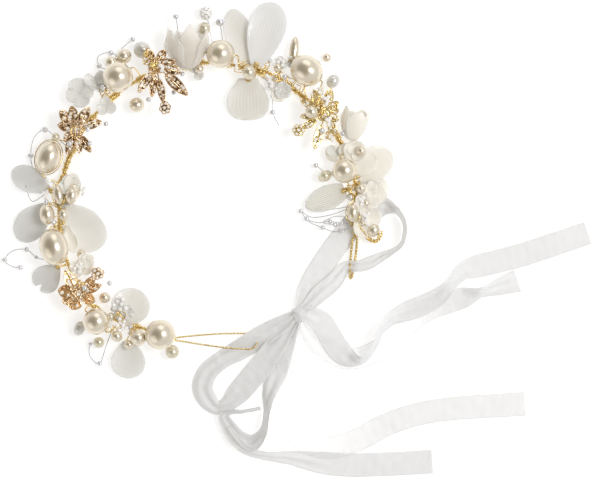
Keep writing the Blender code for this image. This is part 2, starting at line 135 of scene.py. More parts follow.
class Socket:
    def __init__(self, tree, out=None):
        self.tree = tree
        self.out = out

    def add(self, kind, settings=(), sockets=(), output=0):
        node = self.tree.nodes.new("ShaderNode" + kind)
        for name, value in dict(settings).items():
            if name == "stops":
                ramp = node.color_ramp
                while len(ramp.elements) < len(value):
                    ramp.elements.new(0.5)
                for element, (position, colour) in zip(ramp.elements, value):
                    element.position = position
                    element.color = colour
            else:
                setattr(node, name, value)
        for key, value in dict(sockets).items():
            if isinstance(value, Socket):
                self.tree.links.new(value.out, node.inputs[key])
            else:
                node.inputs[key].default_value = value
        return Socket(self.tree, node.outputs[output])

    def calc(self, operation, *values):
        return self.add("Math", {"operation": operation}, dict(enumerate(values)))

    def mix(self, low, high):
        low, high = ((*c, 1.0) if isinstance(c, tuple) and len(c) == 3 else c for c in (low, high))
        return self.add("Mix", {"data_type": "RGBA"}, {0: self, 6: low, 7: high}, 2)

    def __add__(self, other):
        return self.calc("ADD", self, other)

    def __sub__(self, other):
        return self.calc("SUBTRACT", self, other)

    def __rsub__(self, other):
        return self.calc("SUBTRACT", other, self)

    def __mul__(self, other):
        return self.calc("MULTIPLY", self, other)

    def __pow__(self, other):
        return self.calc("POWER", self, other)

    __radd__ = __add__
    __rmul__ = __mul__


def makeFinish(name, fixed, pattern):
    material = bpy.data.materials.new(name)
    material.use_nodes = True
    tree = material.node_tree
    shader = tree.nodes["Principled BSDF"]
    for key, value in fixed.items():
        shader.inputs[key].default_value = value
    for key, value in pattern(Socket(tree)).items():
        tree.links.new(value.out, shader.inputs[key])
    return material


def noise(start, scale, detail=3.0):
    place = start.add("TexCoord", output=3)
    return start.add("TexNoise", {}, {"Vector": place, "Scale": scale, "Detail": detail})


def alongAcross(start):
    along = start.add("SeparateXYZ", {}, {0: start.add("TexCoord", output=2)})
    return along, Socket(start.tree, along.out.node.outputs[1])


def bump(start, height, strength, distance):
    return start.add("Bump", {}, {"Strength": strength, "Distance": distance, "Height": height})


def metalPattern(light, deep, rough, shadePatchScale, contrast):
    def pattern(start):
        # the dark patches of the deep colour are painted shade: scattered at random, they stand in for the
        # shade in the crevices between twisted strands
        cloud = (noise(start, shadePatchScale) - 0.5) * contrast + 0.58
        scratch = noise(start, 2600.0, 2.0)
        return {"Base Color": cloud.mix(deep, light), "Roughness": rough + 0.22 * scratch - 0.08,
                "Normal": bump(start, scratch, 0.25, 0.00004)}
    return pattern


def pearlPattern(light, deep):
    def pattern(start):
        cloud = noise(start, 130.0, 4.0)
        veil = noise(start, 420.0, 2.0)
        tint = (veil * 0.5).mix(deep, (0.90, 0.80, 0.74))
        return {"Base Color": (cloud * 0.7 + 0.1).mix(tint, light),
                "Roughness": 0.20 + 0.08 * veil, "Normal": bump(start, cloud, 0.06, 0.0002)}
    return pattern


def petalPattern(middle, rim, cover, ribWeight):
    def pattern(start):
        along, across = alongAcross(start)
        wander = noise(start, 150.0, 3.0)
        edge = start.calc("MINIMUM", (start.calc("ABSOLUTE", across - 0.5) * 2.0) ** 3.0 + along ** 8.0, 1.0)
        ribs = start.calc("SINE", across * 76.0 + wander * 2.5) * 0.5 + 0.5
        veins = ribs * (1.0 - edge) * start.calc("MINIMUM", along * 3.0, 1.0)
        frost = noise(start, 2200.0, 2.0)
        colour = (edge * 0.75 + wander * 0.5 - 0.1).mix(middle, rim)
        density = cover + 0.2 * ribWeight * veins + 0.06 * wander - 0.20 * edge
        # along the ribs the colour is mixed towards near-white: painted highlights on the real ribs, which
        # also carry the bump
        return {"Base Color": (veins * ribWeight).mix(colour, (0.98, 0.98, 0.96)),
                "Roughness": 0.36 + 0.2 * frost,
                "Alpha": start.calc("MINIMUM", density, 1.0),
                "Normal": bump(start, veins * (ribWeight * 1.6) + frost * 0.2, 0.25, 0.0002)}
    return pattern


def beadPattern(light, deep):
    def pattern(start):
        cloud = noise(start, 700.0, 2.0)
        return {"Base Color": cloud.mix((*deep, 1.0), (*light, 1.0)), "Roughness": 0.08 + 0.12 * cloud}
    return pattern


# how grey and how blue the satin is in its shade, in its light and along its edges
satinTones = ((0.90, 0.91), (0.97, 0.975), (0.97, 0.97))


# fadeIn: where along X the cloth grows more opaque, how fast, and by how much at most
def ribbonPattern(cover, paintedLightLevel=1.0, fadeIn=()):
    def pattern(start):
        hold = cover
        if fadeIn:
            spot = start.add("SeparateXYZ", {}, {0: start.add("TexCoord", output=3)})
            begin, slope, most = fadeIn
            hold = start.calc("MINIMUM", start.calc("MAXIMUM", spot - begin, 0.0) * slope, most) + cover
        along, across = alongAcross(start)
        slub = noise(start, 900.0, 3.0)
        cloud = noise(start, 60.0, 4.0)
        weft = start.calc("SINE", along * 250.0 + slub * 4.0) * 0.5 + 0.5
        warp = start.calc("SINE", across * 250.0 + slub * 4.0) * 0.5 + 0.5
        edge = start.calc("ABSOLUTE", across - 0.5)
        selvedge = start.calc("GREATER_THAN", edge, 0.465)
        weave = weft * 0.5 + warp * 0.5
        # the satin's colours are scaled by paintedLightLevel: below 1 they paint shade on a darker copy of
        # the same satin
        shade, light, rim = ((grey * paintedLightLevel, grey * paintedLightLevel, blue * paintedLightLevel) for grey, blue in satinTones)
        colour = (cloud * 1.4 - 0.2).mix(shade, light)
        return {"Base Color": selvedge.mix(colour, rim),
                "Roughness": 0.48 + 0.2 * slub,
                "Alpha": start.calc("MINIMUM", 0.12 * weave + hold + 0.08 * cloud + selvedge * 0.16, 1.0),
                "Normal": bump(start, weave * 0.6 + slub * 0.4, 0.30, 0.00012)}
    return pattern


petalGloss = {"Subsurface Weight": 0.25, "Subsurface Radius": (0.002, 0.002, 0.002), "Coat Weight": 0.25}


def metalFinish(name, metallic, *look):
    return makeFinish(name, {"Metallic": metallic}, metalPattern(*look))


def nacreFinish(name, metallic, gloss, *colours):
    return makeFinish(name, {"Metallic": metallic, "Coat Weight": 1.0, "Coat Roughness": gloss},
                      pearlPattern(*colours))


# glow gives a petal a faint emission: a painted glow standing in for light scattered through thin petals
def petalFinish(name, *look, glow=None, strength=0.0):
    lit = {"Emission Color": glow, "Emission Strength": strength} if glow else {}
    return makeFinish(name, {**petalGloss, **lit}, petalPattern(*look))


def satinFinish(name, sheen, *look):
    return makeFinish(name, {"Sheen Weight": sheen}, ribbonPattern(*look))


# the finish of each piece, in groups named after slots
groups = {
    "gold_wire": {
        "gold": metalFinish("yellowGoldWire", 1.0, (1.0, 0.83, 0.42), (0.68, 0.45, 0.14), 0.18, 700.0, 2.4),
        "oldGold": metalFinish("oldGoldWire", 1.0, (1.0, 0.86, 0.50), (0.56, 0.40, 0.16), 0.20, 800.0, 2.6)},
    "rose_gold": {
        "roseGold": metalFinish("roseGoldCasting", 1.0, (1.0, 0.80, 0.52), (0.50, 0.28, 0.13), 0.14, 1100.0,
                                3.0),
        # the dark plates under the stones are partly the leaf metal and partly painted shade in the gaps
        # between the stones
        "gapShadeBronze": metalFinish("shadedDarkBronze", 0.35, (0.20, 0.10, 0.045), (0.03, 0.015, 0.007), 0.35, 1300.0,
                              2.4),
        "copper": metalFinish("copperCasting", 0.9, (1.0, 0.66, 0.34), (0.46, 0.20, 0.06), 0.18, 700.0, 3.0),
        "paleGold": metalFinish("paleGoldCasting", 1.0, (1.0, 0.86, 0.50), (0.70, 0.52, 0.24), 0.16, 1100.0,
                                2.6)},
    "pearl": {
        "pearl": nacreFinish("creamNacre", 0.68, 0.06, (0.885, 0.82, 0.68), (0.72, 0.62, 0.44)),
        "greyPearl": nacreFinish("greyNacre", 0.35, 0.08, (0.78, 0.78, 0.75), (0.62, 0.62, 0.57)),
        "olivePearl": nacreFinish("oliveNacre", 0.45, 0.08, (0.80, 0.76, 0.58), (0.60, 0.55, 0.38))},
    "frosted_petal": {
        "petal": petalFinish("greyFrostedPetal", (0.78, 0.785, 0.765), (0.89, 0.89, 0.88), 0.86, 0.03),
        "mistPetal": petalFinish("mistFrostedPetal", (0.88, 0.875, 0.835), (0.945, 0.945, 0.92), 0.75, 0.05),
        "warmPetal": petalFinish("warmFrostedPetal", (0.93, 0.905, 0.845), (0.975, 0.965, 0.94), 0.80, 0.05),
        "shellPetal": petalFinish("shellFrostedPetal", (0.86, 0.83, 0.76), (0.95, 0.94, 0.90), 0.84, 0.30),
        "ribbedPetal": petalFinish("ribbedFrostedPetal", (0.88, 0.87, 0.85), (0.95, 0.95, 0.955), 0.82, 0.24),
        "olivePetal": petalFinish("oliveFrostedPetal", (0.80, 0.765, 0.64), (0.92, 0.92, 0.90), 0.80, 0.8),
        # the cream and cup petals carry that painted glow
        "creamPetal": petalFinish("creamFrostedPetal", (0.925, 0.885, 0.80), (0.965, 0.945, 0.895), 0.80,
                                  0.03,
                                  glow=(1.0, 0.93, 0.84, 1.0), strength=0.06),
        "cupPetal": petalFinish("cupFrostedPetal", (0.80, 0.745, 0.66), (0.95, 0.93, 0.90), 0.52, 0.03,
                                glow=(1.0, 0.93, 0.86, 1.0), strength=0.04)},
    "seed_bead": {
        "seed": makeFinish("silverSeedBead", {"Metallic": 0.55, "Coat Weight": 1.0},
                           beadPattern((0.94, 0.94, 0.96), (0.60, 0.60, 0.64))),
        "thread": makeFinish("clearThread", {"Metallic": 0.1, "Coat Weight": 0.6},
                             beadPattern((0.66, 0.66, 0.68), (0.42, 0.42, 0.46)))},
    "crystal": {
        # the faint warm emission of the crystals is a painted glow that brightens them
        "crystal": makeFinish("clearCrystal", {
            "Transmission Weight": 0.05, "Emission Color": (1.0, 0.96, 0.92, 1.0), "Emission Strength": 0.05,
            "IOR": 1.5, "Coat Weight": 0.5, "Coat Roughness": 0.02},
                              beadPattern((0.99, 0.98, 0.97), (0.90, 0.88, 0.86)))},
    "ribbon": {
        "ribbon": satinFinish("satinRibbon", 0.25, 0.62),
        # the loops and the knot are darker copies of the same satin: painted shade; the knot's denser cover
        # stands for its layered cloth
        "loopRibbon": satinFinish("loopRibbon", 0.2, 0.70, 0.93),
        "knotRibbon": satinFinish("gatheredRibbon", 0.2, 0.92, 0.80),
        "fadedRibbon": satinFinish("fadedRibbon", 0.25, 0.12, 1.0, (0.064, 25.0, 0.50)),
        # the lower tail is nearly clear near the knot, where the white floor shows through it: a painted
        # washed-out highlight
        "washedOutRibbon": satinFinish("washedOutRibbon", 0.25, 0.06, 1.0, (0.010, 9.0, 0.36))},
}
finishes = {name: finish for group in groups.values() for name, finish in group.items()}
print("materials made")


# making and finishing pieces

def addObject(name, data):
    thing = bpy.data.objects.new(name, data)
    bpy.context.scene.collection.objects.link(thing)
    return thing


def finishPiece(name, bm, finish, body, replaced=(), smooth=True):
    bmesh.ops.scale(bm, vec=(mm, mm, mm), verts=bm.verts)
    mesh = bpy.data.meshes.new(name)
    bm.to_mesh(mesh)
    bm.free()
    if smooth:
        mesh.shade_smooth()
    mesh.materials.append(finishes[finish])
    piece = addObject(name, mesh)
    if body:
        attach(piece, body)
    if replaced:
        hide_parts(*replaced)
    return piece


def addWall(piece, thickness):
    wall = piece.modifiers.new("wall", "SOLIDIFY")
    wall.thickness = thickness * mm
    wall.offset = 0.0


def joinShape(whole, part, matrix=None):
    if matrix is not None:
        bmesh.ops.transform(part, matrix=matrix, verts=part.verts)
    mesh = bpy.data.meshes.new("part")
    part.to_mesh(mesh)
    part.free()
    whole.from_mesh(mesh)
    bpy.data.meshes.remove(mesh)


def addWire(whole, route, radius, sides=2, radii=None, closed=False):
    curve = bpy.data.curves.new("wire", "CURVE")
    curve.dimensions = "3D"
    curve.fill_mode = "FULL"
    curve.bevel_depth = radius
    curve.bevel_resolution = sides
    curve.use_fill_caps = not closed
    spline = curve.splines.new("POLY")
    spline.points.add(len(route) - 1)
    for index, point in enumerate(route):
        spline.points[index].co = (*point.xyz, 1.0)
        spline.points[index].radius = radii[index] if radii else 1.0
    spline.use_cyclic_u = closed
    carrier = bpy.data.objects.new("wire", curve)
    mesh = bpy.data.meshes.new_from_object(carrier)
    part = bmesh.new()
    part.from_mesh(mesh)
    bmesh.ops.remove_doubles(part, verts=part.verts, dist=0.0005)
    bpy.data.objects.remove(carrier)
    bpy.data.curves.remove(curve)
    bpy.data.meshes.remove(mesh)
    joinShape(whole, part)


def strayWire(whole, centre, count, spread, heights, radius):
    bends = [centre + Vector((random.uniform(-spread, spread), random.uniform(-spread, spread),
                              random.uniform(*heights))) for index in range(count)]
    addWire(whole, smoothRoute(bends, 5), radius, 1)


def twistedPair(whole, route, radius, pitch, perTurn, wire):
    for phase in (0.0, math.pi):
        addWire(whole, twistRound(route, radius, pitch, phase, perTurn), wire, 1)


def roundTurns(count):
    return [math.tau * step / count for step in range(count)]


def sheetGrid(columns, rows):
    part = bmesh.new()
    part.loops.layers.uv.new("UVMap")
    bmesh.ops.create_grid(part, x_segments=columns, y_segments=rows, size=1.0, calc_uvs=True)
    return part


def turnTo(direction):
    return Vector((0.0, 0.0, 1.0)).rotation_difference(direction).to_matrix().to_4x4()


def addBead(whole, centre, size, direction=Vector((0.0, 0.0, 1.0)), fineness=(16, 10)):
    part = bmesh.new()
    bmesh.ops.create_uvsphere(part, u_segments=fineness[0], v_segments=fineness[1], radius=0.5)
    bmesh.ops.scale(part, vec=size, verts=part.verts)
    joinShape(whole, part, Matrix.Translation(centre) @ turnTo(direction))


def addStone(whole, centre, radius, up=Vector((0.0, 0.0, 1.0))):
    sides = 8
    part = bmesh.new()
    bmesh.ops.create_cone(part, cap_ends=True, segments=sides, radius1=radius, radius2=radius * 0.52,
                          depth=radius * 0.5)
    base = bmesh.new()
    bmesh.ops.create_cone(base, cap_ends=True, segments=sides, radius1=radius * 0.2, radius2=radius,
                          depth=radius * 0.6)
    bmesh.ops.translate(base, vec=(0.0, 0.0, -radius * 0.55), verts=base.verts)
    joinShape(part, base)
    joinShape(whole, part, Matrix.Translation(centre) @ turnTo(up))


def pearlShape(width, length, bore, steps=44):
    part = bmesh.new()
    rim = math.asin(bore / (width / 2.0))
    arcs = [rim + (math.pi - 2.0 * rim) * step / 28.0 for step in range(29)]
    outside = [part.verts.new((width / 2.0 * math.sin(arc), 0.0,
                               length / 2.0 * math.cos(arc))) for arc in arcs]
    inside = [part.verts.new((bore * 0.8, 0.0, length / 2.0 * reach)) for reach in (-0.96, -0.5, 0.0, 0.5,
                                                                                    0.96)]
    loop = outside + inside
    edges = [part.edges.new((loop[index - 1], loop[index])) for index in range(len(loop))]
    bmesh.ops.spin(part, geom=loop + edges, cent=(0.0, 0.0, 0.0), axis=(0.0, 0.0, 1.0), dvec=(0.0, 0.0, 0.0),
                   angle=math.tau, steps=steps, use_merge=True, use_normal_flip=False, use_duplicate=False)
    bmesh.ops.remove_doubles(part, verts=part.verts, dist=0.0001)
    bmesh.ops.recalc_face_normals(part, faces=part.faces)
    return part


# camera, floor and light

view = {"height": 1000.0, "focus": 6.0, "across": 308.4, "sensor": 36.0}
cameraData = bpy.data.cameras.new("camera")
cameraData.sensor_width = view["sensor"]
cameraData.lens = view["sensor"] * view["height"] / view["across"]
camera = addObject("camera", cameraData)
camera.location = (0.0, 0.0, (view["height"] + view["focus"]) * mm)
bpy.context.scene.camera = camera

floorMesh = bmesh.new()
bmesh.ops.create_grid(floorMesh, x_segments=1, y_segments=1, size=2.0)
bmesh.ops.translate(floorMesh, vec=(0.0, 0.0, -0.0004), verts=floorMesh.verts)
floorData = bpy.data.meshes.new("floor")
floorMesh.to_mesh(floorData)
floorMesh.free()
floor = addObject("floor", floorData)
floorData.materials.append(makeFinish(
    "whiteFloor", {"Roughness": 0.9, "Emission Color": (1.0, 1.0, 1.0, 1.0), "Emission Strength": 0.62},
    lambda start: {"Base Color": noise(start, 3.0).mix((0.52, 0.52, 0.52), (0.54, 0.54, 0.54))}))

lamps = {"keySoftbox": ((0.52, 0.10, 0.95), 0.42, 4.6), "fillSoftbox": ((-0.75, -0.55, 0.6), 0.9, 1.2),
         "backSoftbox": ((0.1, 0.95, 0.6), 0.8, 1.2)}
for name, (spot, size, power) in lamps.items():
    lampData = bpy.data.lights.new(name, "AREA")
    lampData.shape = "DISK"
    lampData.size = size
    lampData.energy = power
    lamp = addObject(name, lampData)
    lamp.location = spot
    lamp.rotation_euler = (-Vector(spot)).to_track_quat("-Z", "Y").to_euler()

world = bpy.data.worlds.new("studio")
world.use_nodes = True
bpy.context.scene.world = world
sky = Socket(world.node_tree)
towardsDark = (-0.40, 0.02, 0.916)
darkness = sky.add("VectorMath", {"operation": "DOT_PRODUCT"}, {0: sky.add("TexCoord"), 1: towardsDark}, 1)
skyTone = sky.add("ValToRGB", {"stops": [(0.0, (0.96, 0.96, 0.98, 1.0)), (0.60, (1.0, 1.0, 1.0, 1.0)),
                                         (0.84, (0.36, 0.31, 0.21, 1.0)), (1.0, (0.19, 0.16, 0.10, 1.0))]},
                  {0: darkness})
world.node_tree.links.new(skyTone.out, world.node_tree.nodes["Background"].inputs["Color"])
world.node_tree.nodes["Background"].inputs["Strength"].default_value = 0.72
bpy.context.scene.view_settings.view_transform = "Standard"
print("camera, floor and light set")


# the wire: twisted band, eyes and coils

band = {"strands": 3, "strandRadius": 0.44, "spread": 0.60, "pitch": 4.6,
        "tail": ((-66.6, -50.2), (-62.9, -51.2)), "flexReach": 7.0}


def bandRoute(start, end, steps=2.0):
    count = max(2, round(abs(end - start) / steps))
    angles = [start + (end - start) * index / count for index in range(count + 1)]
    return [station(angle, bandDistance(angle), ring["height"]) for angle in angles]


wholeBand = bandRoute(ring["rightEnd"], ring["leftEnd"])
wholeBand += [Vector((*point, ring["height"])) for point in band["tail"]]
strands = bmesh.new()
for index in range(band["strands"]):
    phase = math.tau * index / band["strands"]
    addWire(strands, twistRound(wholeBand, band["spread"], band["pitch"], phase), band["strandRadius"])
twistedBand = finishPiece("twisted_band", strands, "gold", None, ("band_wire_right", "band_wire_left"))
flexPoint = station(ring["flex"], ring["radius"], ring["height"])
flexReach = heading(ring["flex"] + 90.0) * band["flexReach"]
tuple((flexPoint - flexReach) * mm)
tuple((flexPoint + flexReach) * mm)
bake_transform(twistedBand)

# coils run from one angle to another, and wraps have a radius of their own
coils = {
    "radius": 1.32, "wire": 0.24, "pitch": 0.78,
    "spans": (
        (141.5, 146), (157.5, 164), (-9.5, -3), (0.5, 6), (22.5, 30.5), (47.5, 57), (62, 79.5), (91.5, 97.5),
        (114, 118), (128, 133.5), (152, 155), (165.5, 172), (184.5, 187), (203, 207), (219, 223),
        (234, 238.5)),
    "wraps": (
        (60, 64, 1.9), (66, 71, 1.9), (72, 77, 2.1), (56, 59.5, 1.7), (64, 66.5, 1.5), (80.5, 84, 1.6),
        (92, 96, 1.6), (115, 118.5, 1.6), (127, 132, 1.6), (139.5, 145.5, 1.8), (152, 157, 1.8),
        (166.5, 172, 1.9), (186, 190, 1.8), (203.5, 207, 1.7), (219.5, 223, 1.6), (235, 238.5, 1.7),
        (22.5, 25.5, 1.8), (29, 33, 1.5), (0.5, 6, 1.9), (-9, -3, 1.8)),
}
for body in (rightArm, leftArm):
    shape = bmesh.new()
    for start, end in coils["spans"]:
        if bodyAt(start) == body:
            wobble = 1.0 + 0.12 * math.sin(start)
            path = bandRoute(start, end, 1.0)
            tight = twistRound(path, coils["radius"] * wobble, coils["pitch"], start, 10)
            path = bandRoute(start - 1.0, end + 1.0, 1.0)
            loose = twistRound(path, coils["radius"] * 1.2, coils["pitch"] * 4.3, start, 14)
            addWire(shape, tight, coils["wire"], 1)
            addWire(shape, loose, coils["wire"], 1)
    for start, end, radius in coils["wraps"]:
        if bodyAt(start) == body:
            for layer in range(2):
                route = bandRoute(start + 0.7 * layer, end - 0.7 * layer, 0.8)
                winding = twistRound(route, radius + 0.22 * layer, 0.95 + 0.5 * layer, start, 10)
                radii = [1.0 + 0.25 * math.sin(step * 0.37 + start) for step in range(len(winding))]
                addWire(shape, winding, coils["wire"] * 1.35, 1, radii)
    finishPiece("wire_coils_" + tag(body), shape, "gold", body)

eyes = {
    "right_end_eye": {"start": (30.5, 0.7), "end": (28.3, -19.6), "root": 1.2, "tip": 0.55, "belly": 0.5,
                      "body": rightArm, "wire": 0.40},
    "left_end_eye": {"start": (-62.3, -51.3), "end": (-20.6, -52.8), "root": 0.75, "tip": 4.1, "belly": 0.0,
                     "body": leftArm, "wire": 0.27},
}


def eyeRoute(start, end, root, tip, belly, body, wire):
    start, end = Vector((*start, ring["height"])), Vector((*end, ring["height"]))
    ahead = (end - start).normalized()
    side = Vector((-ahead.y, ahead.x, 0.0))
    centre = end - ahead * tip
    out = []
    for share in (0.0, 0.2, 0.4, 0.6, 0.8):
        turn = share * math.pi
        width = root + (tip - root) * math.sin(turn / 2.0) + belly * math.sin(turn)
        out.append(start.lerp(centre, share) + side * width)
    back = [point - 2.0 * side * (point - start).dot(side) for point in reversed(out)]
    turns = [math.pi * step / 12.0 for step in range(13)]
    return out + [centre + (side * math.cos(turn) + ahead * math.sin(turn)) * tip for turn in turns] + back


for name, eye in eyes.items():
    shape = bmesh.new()
    route = smoothRoute(eyeRoute(**eye), 3)
    for phase in (0.0, math.pi):
        addWire(shape, twistRound(route, eye["wire"], 3.0, phase, 12), eye["wire"])
    finishPiece("twisted_" + name, shape, "oldGold", eye["body"], (name,))
print("wire twisted")


# large pearls and their stems

pearls = {"count": 8, "bore": 0.62, "long": {2: 18.0, 5: 17.5, 6: 19.4}}
for number in range(1, pearls["count"] + 1):
    node = f"large_pearl_{number}"
    low, high = (Vector(corner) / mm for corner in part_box(node))
    centre = (low + high) / 2.0
    width = high.z - low.z
    outwards = centre - Vector((ring["x"], ring["y"], centre.z))
    along = Vector((-outwards.y, outwards.x, 0.0)).normalized()
    shape = pearlShape(width, pearls["long"].get(number, width), pearls["bore"])
    bmesh.ops.transform(shape, matrix=Matrix.Translation(centre) @ turnTo(along), verts=shape.verts)
    finishPiece("nacre_" + node, shape, "pearl", f"pearl_{number}", (node,))
    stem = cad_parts[node + "_stem"]
    stem.data.materials.clear()
    stem.data.materials.append(finishes["gold"])
print("pearls strung")


# frosted petals

def petalShape(length, width, neck=0.2, widest=0.6, waist=1.0, tip=1.0, cup=1.4, drop=0.0,
               ribs=11, ribDepth=0.0, ruffle=0.25, notch=0.0, cells=(40, 32)):
    part = sheetGrid(*cells)
    for vertex in part.verts:
        row, across = (vertex.co.x + 1.0) / 2.0, vertex.co.y
        if row < 0.5:
            along = widest * row / 0.5
            share = neck + (1.0 - neck) * math.sin(math.pi / 2.0 * (row / 0.5) ** waist)
        else:
            turn = (row - 0.5) / 0.5 * 0.97 * math.pi / 2.0
            along = widest + (1.0 - widest) * math.sin(turn)
            share = math.cos(turn) ** tip
        cleft = notch * math.exp(-(across * share / 0.16) ** 2) * along ** 6
        rib = ribDepth * math.cos(across * ribs * math.pi)
        rib *= min(1.0, 3.0 * along) * (1.0 - 0.6 * along ** 4)
        wave = ruffle * math.sin(along * 9.0 + across * 2.0) * abs(across) ** 3
        lift = cup * across * across * share * math.sin(math.pi * min(1.0, along * 1.05))
        height = drop * along + lift + rib + wave
        vertex.co = Vector((length * along * (1.0 - cleft), width / 2.0 * share * across, height))
    return part


def finishPetal(name, shape, finish, body, replaced=(), thickness=0.32):
    addWall(finishPiece(name, shape, finish, body, replaced), thickness)


# base angle and distance, heading, length, width, height at the base and at the tip, and the look
petals = {
    "top_petal_left": ((74.6, 77.8, 105.5, 32.2, 14.6, 4.2, 1.2), "warmPetal", {"widest": 0.60, "neck": 0.3}),
    "top_petal_right": ((71.8, 79.9, 74.3, 34.4, 20, 6.6, 3.2), "ribbedPetal",
                        {"widest": 0.62, "ribs": 19, "ribDepth": 0.03, "tip": 0.9, "neck": 0.3}),
    "top_petal_inner": ((73.4, 72.7, -90, 21.6, 22.4, 4.3, 1.6), "shellPetal",
                        {"widest": 0.60, "waist": 1.15, "ribs": 15, "ribDepth": 0.07, "neck": 0.46,
                         "tip": 0.72, "ruffle": 0.5}),
    "side_petal_upper": ((172.4, 83, 151.5, 22.8, 13.4, 4.6, 2), "petal", {"widest": 0.6}),
    "side_petal_outer": ((177.1, 83.3, -131.6, 24.6, 16.4, 4.2, 1.4), "petal", {"widest": 0.58}),
    "side_petal_inner": ((177.2, 75, -50.6, 29, 20.8, 5.2, 1.5), "warmPetal", {"widest": 0.56, "tip": 0.75}),
    "notched_petal": ((199.8, 82.9, -133.7, 16.6, 15, 4.3, 1.2), "petal",
                      {"widest": 0.62, "notch": 0.22, "ruffle": 0.4}),
    "lower_petal_inner": ((232.7, 73.8, 65.4, 20, 20, 4.2, 1.6), "warmPetal", {"widest": 0.55, "neck": 0.3}),
    "lower_petal_outer": ((238.1, 79, -90, 19.8, 18.2, 4.2, 1.4), "mistPetal", {"widest": 0.58, "neck": 0.3}),
    "right_petal_upper": ((13.3, 79.4, 36.4, 22, 18, 5.7, 6.2), "creamPetal", {"widest": 0.55, "neck": 0.4}),
    "right_petal_lower": ((10.9, 79, -20.6, 17.2, 16, 4.2, 2.2), "creamPetal", {"widest": 0.55, "neck": 0.4}),
    "ribbed_petal": ((9.1, 72.2, -156.5, 22.3, 13, 4.6, 4.4), "olivePetal",
                     {"neck": 0.6, "widest": 0.45, "tip": 1.15, "ribs": 13, "ribDepth": 0.12, "cup": 1.6}),
}
for name, ((angle, distance, way, length, width, base, tip), finish, look) in petals.items():
    shape = petalShape(length, width, drop=tip - base, **look)
    matrix = Matrix.Translation(station(angle, distance, base)) @ Matrix.Rotation(math.radians(way), 4, "Z")
    bmesh.ops.transform(shape, matrix=matrix, verts=shape.verts)
    finishPetal("frosted_" + name, shape, finish, bodyAt(angle), (name,))


def petalRing(whole, centre, axis, count, length, width, open, turn=0.0, **look):
    tilt = math.radians(open)
    rise = Matrix.Rotation(tilt - math.pi / 2.0, 4, "Y")
    for index in range(count):
        swing = Matrix.Rotation(math.tau * index / count + turn, 4, "Z")
        size = 1.0 + 0.06 * math.sin(index * 2.3)
        shape = petalShape(length * size, width * size, cells=(22, 18), **look)
        joinShape(whole, shape, Matrix.Translation(centre) @ turnTo(axis) @ swing @ rise)


cups = {
    "cup_flower_large": {"at": (98.2, 75.0, 9.4), "way": 91.0, "length": 22.6, "mouth": 22.5,
                         "rings": ((6, 1.0), (4, 0.6)), "point": 0.40, "finish": "cupPetal"},
    "cup_flower_small": {"at": (26.6, 83.4, 7.0), "way": 79.0, "length": 17.0, "mouth": 15.0,
                         "rings": ((5, 1.0), (4, 0.62)), "point": 0.20, "finish": "creamPetal"},
}


def cupPetal(length, mouth, turn, spread, layer, point, cells=(30, 22)):
    part = sheetGrid(*cells)
    for vertex in part.verts:
        along, across = (vertex.co.x + 1.0) / 2.0, vertex.co.y
        bulge = 0.20 + 0.86 * math.sin(math.pi / 2.0 * along ** 0.6) - 0.04 * along ** 3
        radius = mouth / 2.0 * bulge * (0.88 + 0.10 * layer) + 0.5 * across ** 4 * along
        angle = turn + across * spread * (1.0 - 0.30 * along ** 6)
        reach = length * along * (1.0 - point * abs(across) ** 2.0 * along ** 2.0)
        vertex.co = Vector((radius * math.cos(angle), radius * math.sin(angle), reach))
    return part


for name, cup in cups.items():
    base = station(*cup["at"])
    axis = (heading(cup["way"]) + Vector((0.0, 0.0, 0.02))).normalized()
    lay = Matrix.Translation(base) @ Matrix.Diagonal((1.0, 1.0, 0.72, 1.0)) @ turnTo(axis)
    shape = bmesh.new()
    for count, size in cup["rings"]:
        for index in range(count):
            reach = cup["length"] * (1.0 - 0.12 * (index % 2)) * (0.7 + 0.3 * size)
            turn = math.tau * (index + 0.75 * size) / count
            part = cupPetal(reach, cup["mouth"] * size, turn, math.tau / count * 0.66, index % 2,
                            cup["point"])
            joinShape(shape, part, lay)
    finishPetal("petalled_" + name, shape, cup["finish"], bodyAt(cup["at"][0]), (name,), 0.3)

flatFlowers = {
    "hydrangea": {"at": (137.3, 91.0, 5.2), "count": 4, "length": 7.8, "width": 9.0, "open": 78.0},
    "small_flower": {"at": (58.4, 74.3, 4.8), "count": 5, "length": 4.7, "width": 5.2, "open": 76.0},
}
for name, flower in flatFlowers.items():
    shape = bmesh.new()
    up = Vector((0.0, 0.1, 1.0)).normalized()
    petalRing(shape, station(*flower["at"]), up, flower["count"], flower["length"], flower["width"],
              flower["open"], turn=0.3, neck=0.4, cup=1.0, ribs=5, ribDepth=0.05)
    finishPetal("petalled_" + name, shape, "mistPetal", bodyAt(flower["at"][0]), (name,), 0.3)

# single cream petals: angle, distance, height, heading, length, width
singlePetals = (
    (15.4, 76.6, 6.6, 38, 16, 14), (18.4, 78.9, 7.4, 78, 12.5, 12), (6.8, 78.6, 5.2, 12, 13.5, 12),
    (2.3, 78.6, 6.0, 25, 11, 10), (0.4, 79.6, 6.6, -30, 11.5, 10), (-0.8, 79.0, 6.0, -78, 13, 10),
    (21.0, 78.5, 5.6, 110, 8, 8), (24.8, 76.8, 4.4, 200, 9, 9), (173.4, 72.8, 8.0, 75, 12, 8),
    (201.0, 72.4, 6.2, -30, 9, 9), (204.3, 70.8, 6.8, 60, 8, 7), (186.0, 74.0, 6.4, -72, 14, 7),
    (8.2, 80.0, 5.6, -10, 14, 12), (62.4, 74.0, 4.4, -60, 9, 8))
for body in (rightArm, leftArm):
    shape = bmesh.new()
    for angle, distance, height, way, length, width in singlePetals:
        if bodyAt(angle) == body:
            part = petalShape(length, width, neck=0.4, widest=0.58, ruffle=0.6, cells=(22, 18))
            place = Matrix.Translation(station(angle, distance, height))
            joinShape(shape, part, place @ Matrix.Rotation(math.radians(way), 4, "Z"))
    finishPetal("single_petals_" + tag(body), shape, "creamPetal", body, (), 0.28)

